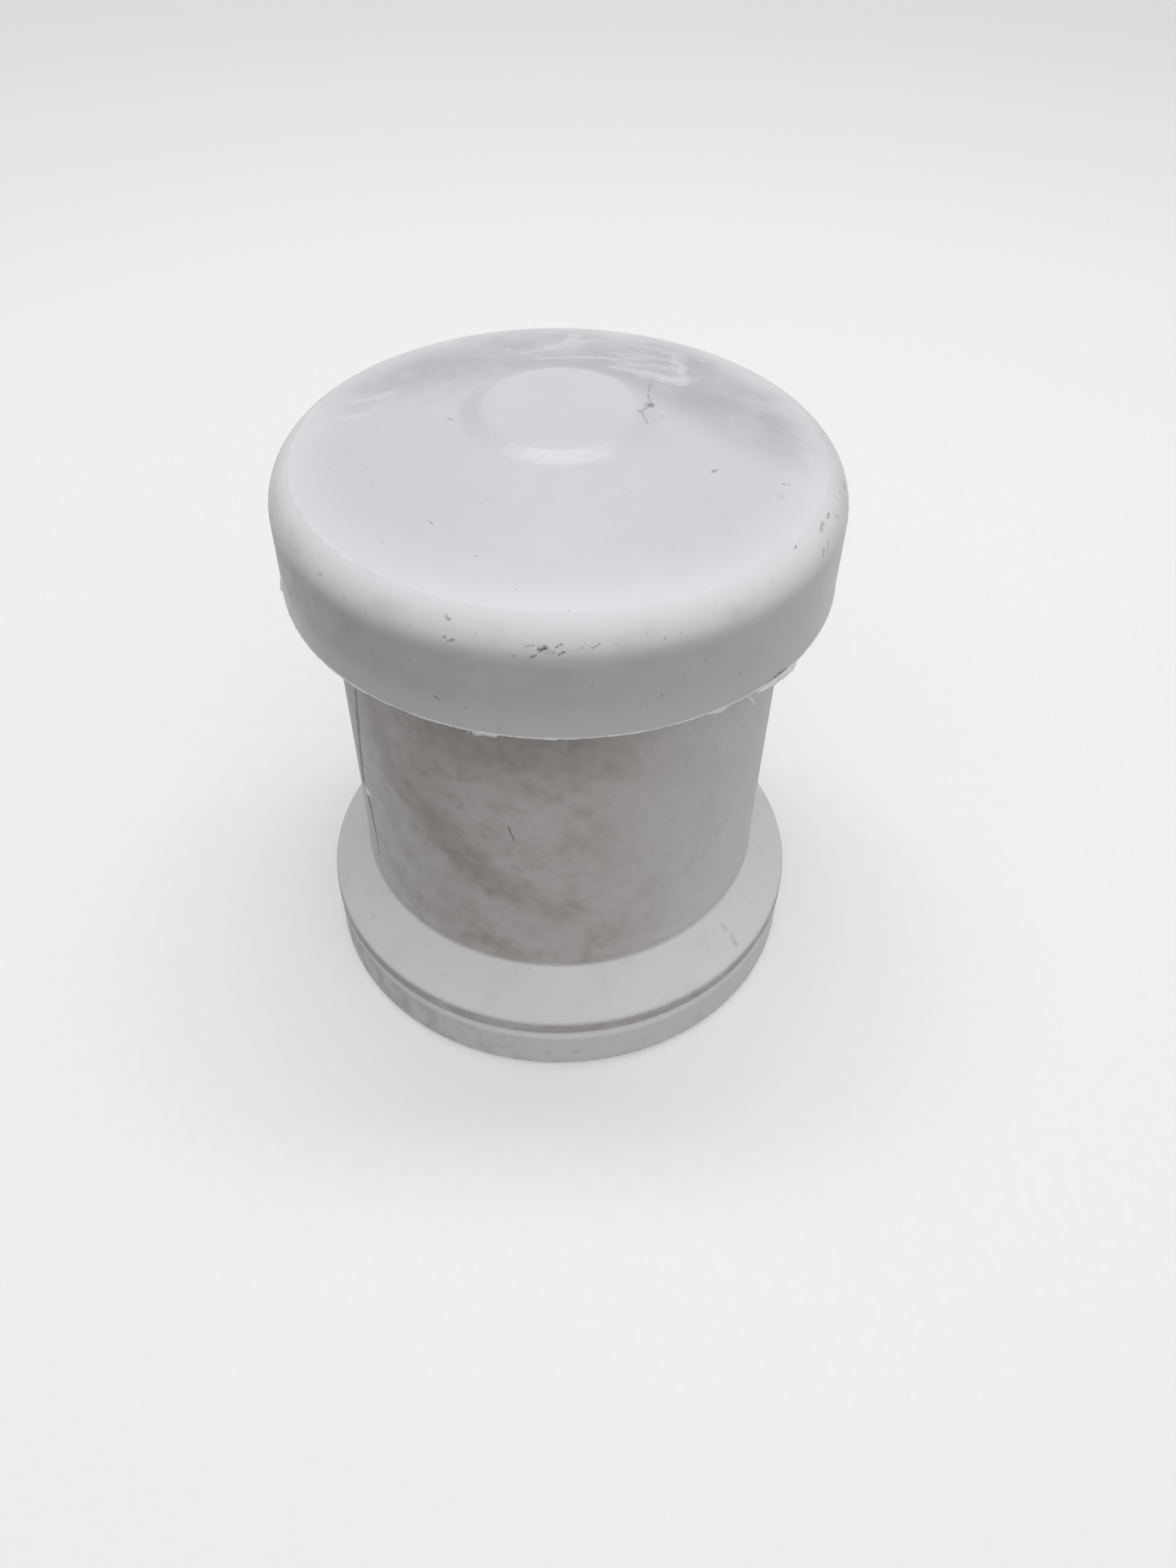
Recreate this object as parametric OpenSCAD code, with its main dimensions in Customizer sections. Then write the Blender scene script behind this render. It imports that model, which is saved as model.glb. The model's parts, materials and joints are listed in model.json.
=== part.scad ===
// Two-way vent valve for a 50 mm waste pipe.
// The pipe goes up into the ring-seal socket of the body as far as the stop. Above the stop
// a cup stands in the body. Its throat leads pipe air up the middle, and the trough round the
// throat takes outside air, which comes up under the hood and in through a ring of slots.
// A floating ring lies on the trough: it lifts to let air in. A small disc lies on the port
// in the cover: it lifts to let air out. Both close by their own weight.
// The origin is the middle of the lowest face, with +Z up the axis.

/* [Pipe socket] */
// Outside diameter of the pipe
pipe_d = 50; // [49:0.5:52]
// Clearance all round the pipe in the socket
pipe_gap = 0.2; // [0.1:0.05:0.4]
// Wall of the body round the socket
socket_wall = 2.8; // [2.4:0.1:3.4]
// Height of the pipe stop above the lowest face
socket_depth = 48; // [40:1:50]
// Width of the pipe stop
stop_w = 2.4; // [1.6:0.1:3]
// Thickness of the pipe stop
stop_t = 2.5; // [1.5:0.1:3]

/* [Body] */
// Height of the body's rim above the lowest face
body_h = 62; // [61:0.5:70]
// Growth of the body's radius from the shoulder up to its rim
body_flare = 0.4; // [0:0.1:0.8]
// Wall of the body above the pipe stop
upper_wall = 2.4; // [2:0.1:2.8]
// Slope of the shoulder, in degrees
shoulder_deg = 45; // [40:1:50]
// Radius of the fillet where the body meets the shoulder
foot_fillet = 1; // [0.5:0.1:1.5]
// Radius of the shoulder's rounded outer edge
shoulder_round = 1.2; // [0.8:0.1:1.8]
// Height of the plain band below the shoulder
band_h = 2.25; // [1.5:0.25:3]

/* [Seal housing] */
// Depth of the seal chamber behind the socket wall
seal_w = 4; // [3.5:0.1:4.5]
// Height of the seal chamber
seal_h = 8; // [7:0.25:9]
// Wall of the spigot round the seal chamber
spigot_wall = 2.1; // [1.8:0.1:2.6]
// Clearance between the spigot and the retaining ring
ring_gap = 0.1; // [0.05:0.05:0.2]
// Wall of the retaining ring
ring_wall = 2.2; // [1.8:0.1:2.8]
// Height of the retaining ring
ring_h = 7.1; // [6.5:0.1:8]
// Thickness of the ring's floor, which holds the seal
ring_floor = 2.2; // [1.6:0.1:2.8]
// Open line between the retaining ring and the band above it
ring_line = 0.35; // [0.2:0.05:0.5]
// Radius of the ring's rounded upper edge
ring_round = 1.2; // [0.6:0.1:1.5]
// Depth of the groove that the ring snaps into
snap_depth = 0.5; // [0.3:0.05:0.6]

/* [Throat cup] */
// Thickness of the cup's walls and floor
cup_wall = 1.5; // [1.2:0.1:1.8]
// Depth of the cup's floor below the body's rim
floor_drop = 2; // [1.5:0.1:3]
// Inner radius of the throat
throat_r = 13; // [11:0.5:14]
// Wall of the throat tube
throat_wall = 1.2; // [1:0.1:1.5]
// Number of gussets below the floor
gussets = 6; // [4:1:8]
// Thickness of the flat gasket below the cup
gasket_t = 1; // [0.8:0.1:1.5]

/* [Intake ring] */
// Number of air slots
slots = 36; // [24:1:40]
// Width of an air slot
slot_w = 3; // [2.4:0.1:3.2]
// Height of an air slot
slot_h = 2.7; // [2:0.1:3.2]
// Wall below the slots, above the body's rim
slot_sill = 0.6; // [0.4:0.1:1]
// Thickness of the ledge that carries the outer seat
ledge_t = 0.8; // [0.7:0.05:1.2]
// Height of a seat's raised land
land_h = 0.4; // [0.3:0.05:0.6]
// Width of a seat's raised land
land_w = 0.8; // [0.6:0.1:1.2]
// Wall of the intake ring
intake_wall = 2.3; // [2.1:0.1:2.6]
// Width of the square seal below the cover
cover_seal_w = 0.8; // [0.7:0.05:1]
// Depth of the groove for that seal
cover_seal_h = 1; // [0.8:0.1:1.2]
// Reach of the bead that the hood's hooks grip
bead = 0.7; // [0.5:0.05:0.9]

/* [Floating ring] */
// Thickness of the rubber face
face_t = 1; // [0.8:0.1:1.4]
// Thickness of the plastic carrier
carrier_t = 1.2; // [1:0.1:1.6]
// Play between the carrier's edge and the wall that guides it
float_gap = 0.5; // [0.3:0.05:0.7]
// Lift of the floating ring
intake_lift = 2.3; // [1.5:0.1:3]
// Space that stays above each valve when it is fully lifted
stop_gap = 0.3; // [0.2:0.05:0.5]

/* [Cover and relief disc] */
// Thickness of the cover
cover_t = 1.4; // [1.2:0.1:1.8]
// Radius of the relief port
port_r = 7; // [6:0.25:8]
// Height of the relief seat above the cover
relief_seat_h = 0.8; // [0.6:0.1:1.2]
// Radius of the relief disc
relief_r = 9.4; // [9:0.1:10]
// Thickness of the relief disc
relief_t = 1.4; // [1.2:0.1:1.8]
// Lift of the relief disc
relief_lift = 2.4; // [1.5:0.1:3]
// Radius of the relief disc's stem
stem_r = 1.6; // [1.3:0.1:1.8]
// Running clearance round the stem
stem_gap = 0.08; // [0.05:0.01:0.1]
// Length of the hub that guides the stem
hub_h = 4.5; // [3.5:0.25:5]
// Wall of the hub
hub_wall = 1.3; // [1:0.1:1.8]
// Number of spokes that hold the hub
spokes = 4; // [3:1:6]
// Width of a spoke
spoke_w = 1.2; // [1:0.1:1.6]
// Thickness of the clip on the stem
clip_t = 0.5; // [0.4:0.05:0.7]

/* [Hood] */
// Wall of the hood
hood_wall = 2.2; // [1.8:0.1:2.6]
// Open gap between the body's rim and the hood's skirt
air_gap = 2.9; // [2.6:0.1:4]
// Distance that the skirt reaches below the body's rim
skirt_drop = 0.4; // [0:0.1:2]
// Space between the lifted relief disc and the hood
headroom = 0.7; // [0.4:0.1:1.5]
// Radius of the flat disc on top
crown_r = 8.6; // [7:0.1:10]
// Width of the steeper band round the flat disc
crown_band = 2.4; // [1.5:0.1:3.5]
// Drop across the steeper band
crown_drop = 1; // [0.6:0.1:1.4]
// Radius of the rounding at both edges of that band
crown_round = 4; // [2:0.5:5]
// Slope of the hood's top, in degrees
hood_deg = 13; // [9:0.5:15]
// Radius of the hood's rounded rim
rim_round = 5; // [4:0.25:6]
// Slope at which the rim's rounding starts, in degrees
rim_deg = 25; // [20:1:35]
// Number of legs inside the hood
legs = 6; // [3:1:8]
// Width of a leg
leg_w = 2.4; // [1.8:0.1:3]
// Clearance between the hood's hooks and the bead they grip
hook_gap = 0.1; // [0.05:0.05:0.2]

/* [Hidden] */
$fn = 96;

eps = 0.01;
// Clearance between pieces that are pushed together and don't move
fit_gap = 0.1;
// Small chamfer on seats, tips and edges
bevel = 0.4;

// Radii of the socket and the body
bore_r = pipe_d / 2 + pipe_gap;
foot_r = bore_r + socket_wall;
rim_r = foot_r + body_flare;
upper_r = rim_r - upper_wall;
stop_r = bore_r - stop_w;

// Radii and heights of the seal housing
chamber_r = bore_r + seal_w;
spigot_r = chamber_r + spigot_wall;
ring_in_r = spigot_r + ring_gap;
ring_r = ring_in_r + ring_wall;
band_r = ring_r + ring_gap;
band_z = ring_h + ring_line;
shoulder_z = band_z + band_h;
foot_z = shoulder_z + (band_r - foot_r) * tan(shoulder_deg);
chamber_z = ring_floor + seal_h;
entry_r = pipe_d / 2 + 3 * bevel;
snap_z = ring_floor + (ring_h - ring_floor) / 2;
snap_half = 0.7;

// Heights inside the body, from the pipe stop up
stop_z = socket_depth + stop_t;
cup_z = stop_z + gasket_t;
floor_z = body_h - floor_drop;
cup_r = upper_r - fit_gap;
cup_in_r = cup_r - cup_wall;
throat_out_r = throat_r + throat_wall;

// Heights of the intake ring, from the body's rim up
slot_z = body_h + slot_sill;
ledge_z = slot_z + slot_h + fit_gap;
seat_z = ledge_z + ledge_t + land_h;
wall_r = rim_r - 0.2;
wall_in_r = wall_r - intake_wall;
seat_out_r = wall_in_r - land_w;
seat_in_r = seat_out_r - land_w;
nose_r = seat_in_r - bevel;

// Floating ring
carrier_z = seat_z + face_t;
carrier_top = carrier_z + carrier_t;
carrier_r = wall_in_r - float_gap;
carrier_in_r = throat_r - float_gap;
face_r = carrier_r - bevel / 2;
face_in_r = carrier_in_r + bevel / 2;
key_r = (face_r + face_in_r) / 2;
key_w = 1;
key_h = carrier_t / 2;

// Cover and relief disc
cover_z = carrier_top + intake_lift + stop_gap;
cover_top = cover_z + cover_t;
relief_seat_z = cover_top + relief_seat_h;
disc_z = relief_seat_z + face_t;
disc_top = disc_z + relief_t;
hub_z = cover_top - hub_h;
clip_z = hub_z - relief_lift - stop_gap - clip_t;
stem_z = clip_z - clip_t;
groove_mid_r = (wall_r + wall_in_r) / 2;

// Hood
hood_in_z = disc_top + relief_lift + headroom;
hood_top = hood_in_z + hood_wall;
hood_in_r = rim_r + air_gap;
hood_r = hood_in_r + hood_wall;
skirt_z = body_h - skirt_drop;
bead_r = wall_r + bead;
bead_z = seat_z + face_t;
bead_h = 0.5;
leg_in_r = bead_r + hook_gap;
hook_top = bead_z - hook_gap;
hook_h = 0.5;
leg_z = hook_top - 3 * hook_h;

// One thin slab across an edge at (r, z), hollowed by a circle of radius s. Cutting it away
// rounds the edge. The material lies towards (r + dr, z + dz), with dr and dz 1 or -1.
module round_off(r, z, s, dr, dz) {
    difference() {
        translate([r + dr * (s - eps) / 2, z + dz * (s - eps) / 2])
            square([s + eps, s + eps], center = true);
        translate([r + dr * s, z + dz * s])
            circle(s);
    }
}

// Filled half outline of the hood, drawn inwards by t from its outer surface. The slope meets
// the rim's arc in a faint crease, because the arc starts steeper than the slope ends.
module hood_half(t) {
    s = rim_round - t;
    run_r = crown_r + crown_band;
    run_z = hood_top - t - crown_drop;
    mid_r = hood_r - rim_round;
    crease_r = mid_r + s * sin(rim_deg);
    crease_z = run_z - (crease_r - run_r) * tan(hood_deg);
    mid_z = crease_z - s * cos(rim_deg);
    // Slope of the band round the crown, and how far its roundings reach along it
    band_deg = atan(crown_drop / crown_band);
    top_run = crown_round * tan(band_deg / 2);
    low_run = crown_round * tan((band_deg - hood_deg) / 2);
    top_end = [crown_r + top_run * cos(band_deg), hood_top - t - top_run * sin(band_deg)];
    low_end = [run_r - low_run * cos(band_deg), run_z + low_run * sin(band_deg)];
    difference() {
        polygon([
            [0, skirt_z - eps],
            [0, hood_top - t],
            [crown_r - top_run, hood_top - t],
            top_end,
            low_end,
            [run_r + low_run * cos(hood_deg), run_z - low_run * sin(hood_deg)],
            [crease_r, crease_z],
            [crease_r, mid_z],
            [mid_r + s, mid_z],
            [mid_r + s, skirt_z - eps]
        ]);
        translate([low_end.x + crown_round * sin(band_deg), low_end.y + crown_round * cos(band_deg)])
            circle(crown_round);
    }
    intersection() {
        translate([crown_r - top_run, hood_top - t - crown_round])
            circle(crown_round);
        polygon([
            [crown_r - top_run, hood_top - t],
            [crown_r, hood_top - t],
            top_end,
            [crown_r - top_run, top_end.y]
        ]);
    }
    intersection() {
        translate([mid_r, mid_z])
            circle(s);
        translate([crease_r - eps, mid_z - eps])
            square(s);
    }
}

// One leg of the hood: it stands on the cover's edge and hooks under the bead
module leg() {
    rotate([90, 0, 0])
        linear_extrude(leg_w, center = true)
            intersection() {
                polygon([
                    [wall_in_r + bevel, cover_top],
                    [leg_in_r, cover_top],
                    [leg_in_r, hook_top],
                    [wall_r + hook_gap, hook_top],
                    [wall_r + hook_gap, hook_top - hook_h],
                    [leg_in_r + hook_h, leg_z],
                    [hood_in_r + hood_wall / 2, leg_z],
                    [hood_in_r + hood_wall / 2, hood_top],
                    [wall_in_r + bevel, hood_top]
                ]);
                hood_half(hood_wall / 2);
            }
}

module hood() {
    color("whitesmoke") {
        rotate_extrude()
            intersection() {
                difference() {
                    hood_half(0);
                    hood_half(hood_wall);
                }
                translate([0, skirt_z])
                    square([2 * hood_r, hood_top]);
            }
        for (i = [0 : legs - 1])
            rotate([0, 0, i * 360 / legs])
                leg();
    }
}

module body() {
    // Distance from the shoulder's sharp edge to where its rounding ends
    edge_run = shoulder_round * tan((90 - shoulder_deg) / 2);
    color("gainsboro")
        rotate_extrude()
            difference() {
                union() {
                    polygon([
                        [chamber_r, ring_floor],
                        [spigot_r - bevel, ring_floor],
                        [spigot_r, ring_floor + bevel],
                        [spigot_r, snap_z - snap_half],
                        [spigot_r - snap_depth, snap_z - snap_half + snap_depth],
                        [spigot_r - snap_depth, snap_z + snap_half - snap_depth / 2],
                        [spigot_r, snap_z + snap_half],
                        [spigot_r, band_z],
                        [band_r, band_z],
                        [band_r, shoulder_z - edge_run],
                        [band_r - shoulder_round, shoulder_z - edge_run],
                        [
                            band_r - edge_run * cos(shoulder_deg),
                            shoulder_z + edge_run * sin(shoulder_deg)
                        ],
                        [foot_r, foot_z],
                        [rim_r, body_h],
                        [upper_r, body_h],
                        [upper_r, stop_z],
                        [stop_r, stop_z],
                        [stop_r, socket_depth],
                        [bore_r, socket_depth],
                        [bore_r, chamber_z + seal_w * tan(shoulder_deg)],
                        [chamber_r, chamber_z]
                    ]);
                    translate([band_r - shoulder_round, shoulder_z - edge_run])
                        circle(shoulder_round);
                    foot_fill();
                }
                round_off(band_r, band_z, bevel, -1, 1);
            }
}

// Fillet between the body's wall and the shoulder
module foot_fill() {
    // The fillet's tangent points lie this far from the corner
    reach = foot_fillet * tan((90 - shoulder_deg) / 2);
    difference() {
        polygon([
            [foot_r - eps, foot_z - eps],
            [foot_r + reach * cos(shoulder_deg), foot_z - reach * sin(shoulder_deg) - eps],
            [foot_r + eps, foot_z + reach]
        ]);
        translate([foot_r + foot_fillet, foot_z + reach])
            circle(foot_fillet);
    }
}

module retaining_ring() {
    color("white")
        rotate_extrude()
            difference() {
                polygon([
                    [entry_r + bevel * 2, 0],
                    [ring_r, 0],
                    [ring_r, ring_h],
                    [ring_in_r + bevel, ring_h],
                    [ring_in_r, ring_h - bevel],
                    [ring_in_r, snap_z + snap_half - ring_gap],
                    [spigot_r - snap_depth + ring_gap, snap_z + snap_half - snap_depth],
                    [spigot_r - snap_depth + ring_gap, snap_z - snap_half + snap_depth + ring_gap],
                    [ring_in_r, snap_z - snap_half + ring_gap],
                    [ring_in_r, ring_floor],
                    [entry_r, ring_floor],
                    [entry_r, bevel * 2]
                ]);
                round_off(ring_r, ring_h, ring_round, -1, -1);
                round_off(ring_r, 0, ring_round / 2, -1, 1);
            }
}

// Rubber lip seal, drawn as it lies against a pipe
module pipe_seal() {
    lip_r = bore_r + fit_gap / 2;
    heel_r = chamber_r - fit_gap;
    foot_in_r = lip_r + seal_w / 3;
    arm_t = seal_w / 4;
    top_z = chamber_z - bevel;
    color("dimgray")
        rotate_extrude()
            polygon([
                [foot_in_r, ring_floor],
                [heel_r, ring_floor],
                [heel_r, top_z],
                [heel_r - arm_t, top_z],
                [heel_r - arm_t * 1.5, top_z - seal_h / 4],
                [lip_r, top_z - bevel],
                [lip_r, top_z - bevel - arm_t],
                [foot_in_r, ring_floor + seal_h / 3]
            ]);
}

module throat_cup() {
    color("white") {
        rotate_extrude()
            polygon([
                [cup_in_r, cup_z],
                [cup_r, cup_z],
                [cup_r, floor_z],
                [throat_out_r, floor_z],
                [throat_out_r, seat_z - bevel],
                [throat_out_r - bevel / 2, seat_z],
                [throat_r + bevel / 2, seat_z],
                [throat_r, seat_z - bevel],
                [throat_r, floor_z],
                [throat_r + cup_wall, floor_z - cup_wall],
                [cup_in_r, floor_z - cup_wall]
            ]);
        for (i = [0 : gussets - 1])
            rotate([0, 0, i * 360 / gussets])
                gusset();
    }
}

// Web below the cup's floor
module gusset() {
    drop = floor_z - cup_wall - cup_z;
    rotate([90, 0, 0])
        linear_extrude(cup_wall, center = true)
            polygon([
                [throat_out_r + cup_wall, floor_z - cup_wall + eps],
                [cup_in_r + eps, floor_z - cup_wall + eps],
                [cup_in_r + eps, floor_z - cup_wall - drop * 0.8]
            ]);
}

module cup_gasket() {
    color("dimgray")
        rotate_extrude()
            translate([cup_in_r, stop_z])
                square([cup_wall, gasket_t]);
}

module intake_ring() {
    groove_w = cover_seal_w + fit_gap;
    color("whitesmoke")
        difference() {
            rotate_extrude()
                polygon([
                    [cup_in_r, floor_z],
                    [cup_r, floor_z],
                    [cup_r, body_h],
                    [wall_r, body_h],
                    [wall_r, bead_z],
                    [bead_r, bead_z],
                    [bead_r, bead_z + bead_h],
                    [wall_r, bead_z + bead_h + bead],
                    [wall_r, cover_z],
                    [groove_mid_r + groove_w / 2, cover_z],
                    [groove_mid_r + groove_w / 2, cover_z - cover_seal_h],
                    [groove_mid_r - groove_w / 2, cover_z - cover_seal_h],
                    [groove_mid_r - groove_w / 2, cover_z],
                    [wall_in_r, cover_z],
                    [wall_in_r, seat_z - land_h],
                    [seat_out_r, seat_z - land_h],
                    [seat_out_r, seat_z],
                    [seat_in_r, seat_z],
                    [nose_r, seat_z - land_h],
                    [nose_r, ledge_z],
                    [wall_in_r, ledge_z],
                    [wall_in_r, slot_z],
                    [cup_in_r, slot_z - (wall_in_r - cup_in_r)]
                ]);
            for (i = [0 : slots - 1])
                rotate([0, 0, (i + 0.5) * 360 / slots])
                    translate([wall_in_r - eps - 1, -slot_w / 2, slot_z])
                        cube([intake_wall + 2, slot_w, slot_h]);
        }
}

module floating_ring() {
    rib_w = 0.8;
    ribs = 12;
    dish = carrier_t / 3;
    color("gainsboro") {
        rotate_extrude()
            difference() {
                translate([carrier_in_r, carrier_z])
                    square([carrier_r - carrier_in_r, carrier_t]);
                // Dished top between the two rims
                translate([carrier_in_r + rib_w, carrier_top - dish])
                    square([carrier_r - carrier_in_r - 2 * rib_w, dish + eps]);
                // Groove for the rubber's key
                translate([key_r - key_w / 2 - fit_gap / 2, carrier_z - eps])
                    square([key_w + fit_gap, key_h + fit_gap / 2 + eps]);
            }
        // Radial ribs in the dished top
        for (i = [0 : ribs - 1])
            rotate([0, 0, i * 360 / ribs])
                translate([carrier_in_r + rib_w / 2, -rib_w / 2, carrier_top - dish - eps])
                    cube([carrier_r - carrier_in_r - rib_w, rib_w, dish + eps]);
    }
}

module floating_ring_face() {
    color("dimgray")
        rotate_extrude() {
            translate([face_in_r, seat_z])
                square([face_r - face_in_r, face_t]);
            translate([key_r - key_w / 2, carrier_z - eps])
                square([key_w, key_h + eps]);
        }
}

module cover() {
    hub_r = stem_r + stem_gap + hub_wall;
    color("whitesmoke")
        difference() {
            union() {
                rotate_extrude()
                    polygon([
                        [port_r, cover_z],
                        [wall_r, cover_z],
                        [wall_r, cover_top - bevel],
                        [wall_r - bevel, cover_top],
                        [port_r + land_w + bevel * 2, cover_top],
                        [port_r + land_w + bevel / 2, relief_seat_z],
                        [port_r + bevel / 2, relief_seat_z],
                        [port_r, relief_seat_z - bevel]
                    ]);
                translate([0, 0, hub_z])
                    cylinder(hub_h, hub_r, hub_r);
                for (i = [0 : spokes - 1])
                    rotate([0, 0, (i + 0.5) * 360 / spokes])
                        translate([hub_r - hub_wall / 2, -spoke_w / 2, cover_z])
                            cube([port_r - hub_r + hub_wall, spoke_w, cover_t]);
            }
            translate([0, 0, hub_z - 1])
                cylinder(hub_h + 2, stem_r + stem_gap, stem_r + stem_gap);
        }
}

module cover_seal() {
    color("dimgray")
        rotate_extrude()
            translate([groove_mid_r - cover_seal_w / 2, cover_z - cover_seal_h])
                square([cover_seal_w, cover_seal_h]);
}

module relief_disc() {
    neck_r = stem_r - bevel;
    color("gainsboro")
        rotate_extrude()
            polygon([
                [0, stem_z],
                [neck_r, stem_z],
                [stem_r, stem_z + bevel],
                [stem_r, clip_z],
                [neck_r, clip_z],
                [neck_r, clip_z + clip_t],
                [stem_r, clip_z + clip_t],
                [stem_r, disc_z],
                [relief_r, disc_z],
                [relief_r, disc_top - bevel * 2],
                [relief_r - bevel * 2, disc_top],
                [0, disc_top]
            ]);
}

module relief_face() {
    color("dimgray")
        rotate_extrude()
            translate([stem_r + fit_gap, relief_seat_z])
                square([relief_r - bevel - stem_r - fit_gap, face_t]);
}

// Open clip that snaps into the stem's groove from the side
module stem_clip() {
    neck_r = stem_r - bevel;
    color("silver")
        translate([0, 0, clip_z + fit_gap / 2])
            difference() {
                cylinder(clip_t - fit_gap, stem_r * 2, stem_r * 2);
                translate([0, 0, -1])
                    cylinder(clip_t + 2, neck_r + fit_gap / 2, neck_r + fit_gap / 2);
                translate([0, -neck_r, -1])
                    cube([stem_r * 3, neck_r * 2, clip_t + 2]);
            }
}

body();
retaining_ring();
pipe_seal();
throat_cup();
cup_gasket();
intake_ring();
floating_ring();
floating_ring_face();
cover();
cover_seal();
relief_disc();
relief_face();
stem_clip();
hood();
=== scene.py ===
# %% [markdown]
# # Two-way vent valve
# The shape of the valve comes from its CAD model and stays as it is. This script gives it the
# looks of a real one: white plastics with years of dust and knocks, black rubber and a steel
# clip. It also adds what is too thin and torn for CAD, such as moulding flash.
#
# Blender works in metres. The sizes below are in millimetres, as on a drawing, so MM turns
# one into the other.

# %% Load the CAD model as the fixed frame
import json

import bpy
import numpy as np
from mathutils import Matrix, Vector

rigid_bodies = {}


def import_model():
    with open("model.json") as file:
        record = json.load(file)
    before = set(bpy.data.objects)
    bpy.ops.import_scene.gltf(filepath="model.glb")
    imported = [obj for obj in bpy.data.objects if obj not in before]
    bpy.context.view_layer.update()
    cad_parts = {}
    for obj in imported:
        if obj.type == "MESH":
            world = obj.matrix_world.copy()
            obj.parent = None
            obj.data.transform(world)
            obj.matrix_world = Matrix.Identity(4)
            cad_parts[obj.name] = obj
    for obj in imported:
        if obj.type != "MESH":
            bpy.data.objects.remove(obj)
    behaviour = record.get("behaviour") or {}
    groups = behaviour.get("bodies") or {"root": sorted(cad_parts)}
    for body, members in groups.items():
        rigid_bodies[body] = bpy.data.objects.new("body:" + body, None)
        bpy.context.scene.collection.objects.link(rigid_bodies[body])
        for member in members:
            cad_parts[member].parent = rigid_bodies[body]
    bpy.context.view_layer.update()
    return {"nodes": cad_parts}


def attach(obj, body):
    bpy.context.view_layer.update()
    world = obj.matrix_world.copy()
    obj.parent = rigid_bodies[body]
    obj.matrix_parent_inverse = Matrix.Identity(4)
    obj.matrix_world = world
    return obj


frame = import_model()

MM = 0.001
nodes = frame["nodes"]
scene = bpy.context.scene
scene.view_settings.view_transform = "Standard"
print("nodes:", ", ".join(sorted(nodes)))

# %% [markdown]
# ## Camera
# The valve was photographed from close above with a phone, so the hood looks much larger than
# the foot. A camera could be placed by eye, but the perspective shows every error. These
# numbers were fitted instead, until the outlines of the CAD model fell on the outlines in
# the photograph. A focal length in pixels turns into one in millimetres over Blender's
# sensor, which lies along the longer side of the picture.

# %% Place the camera
FRAME_HEIGHT_PX = 2000
FOCAL_PX = 1583.9
SENSOR_MM = 36.0
NEAREST_M = 0.005
CAMERA_MM = (4.02, -127.51, 149.57)
PITCH_DEG, ROLL_DEG = 45.15, 1.19


def camera_axes(pitch_deg, roll_deg):
    """Right, up and backward unit vectors of a camera that looks along +Y, tips down by the
    pitch, and then turns about its own line of sight by the roll."""
    pitch, roll = np.radians([pitch_deg, roll_deg])
    right = np.array([1.0, 0.0, 0.0])
    up = np.array([0.0, np.sin(pitch), np.cos(pitch)])
    turned_right = right * np.cos(roll) + up * np.sin(roll)
    turned_up = up * np.cos(roll) - right * np.sin(roll)
    return turned_right, turned_up, np.cross(turned_right, turned_up)


lens = bpy.data.cameras.new("photo_camera")
lens.sensor_fit = "AUTO"
lens.sensor_width = SENSOR_MM
lens.lens = FOCAL_PX / FRAME_HEIGHT_PX * lens.sensor_width
lens.clip_start = NEAREST_M
camera = bpy.data.objects.new("photo_camera", lens)
pose = Matrix(np.column_stack(camera_axes(PITCH_DEG, ROLL_DEG))).to_4x4()
pose.translation = Vector(CAMERA_MM) * MM
camera.matrix_world = pose
scene.collection.objects.link(camera)
scene.camera = camera
print(f"camera: {lens.lens:.2f} mm lens, {Vector(CAMERA_MM).length:.0f} mm from the foot")

# %% [markdown]
# ## Shader sums in Python
# A finish is a tree of nodes, and a long tree is hard to read as calls. Here one small class
# wraps a socket, so that `dust * 0.5 + 0.1` adds the Math nodes for it. Another class holds
# the material. Its `node` method makes any other node: first its settings, then the values
# or links of its sockets.

# %% Sockets that can be added and multiplied
class Value:
    """One output socket. Each operator adds the Math node that does the same sum."""

    def __init__(self, finish, socket):
        self.finish = finish
        self.socket = socket

    def sum(self, operation, first, second):
        return self.finish.node("ShaderNodeMath", {"operation": operation}, {0: first, 1: second})

    def __add__(self, other):
        return self.sum("ADD", self, other)

    def __sub__(self, other):
        return self.sum("SUBTRACT", self, other)

    def __rsub__(self, other):
        return self.sum("SUBTRACT", other, self)

    def __mul__(self, other):
        return self.sum("MULTIPLY", self, other)

    def __or__(self, other):
        return self.sum("MAXIMUM", self, other)

    __radd__ = __add__
    __rmul__ = __mul__
    __ror__ = __or__


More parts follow.
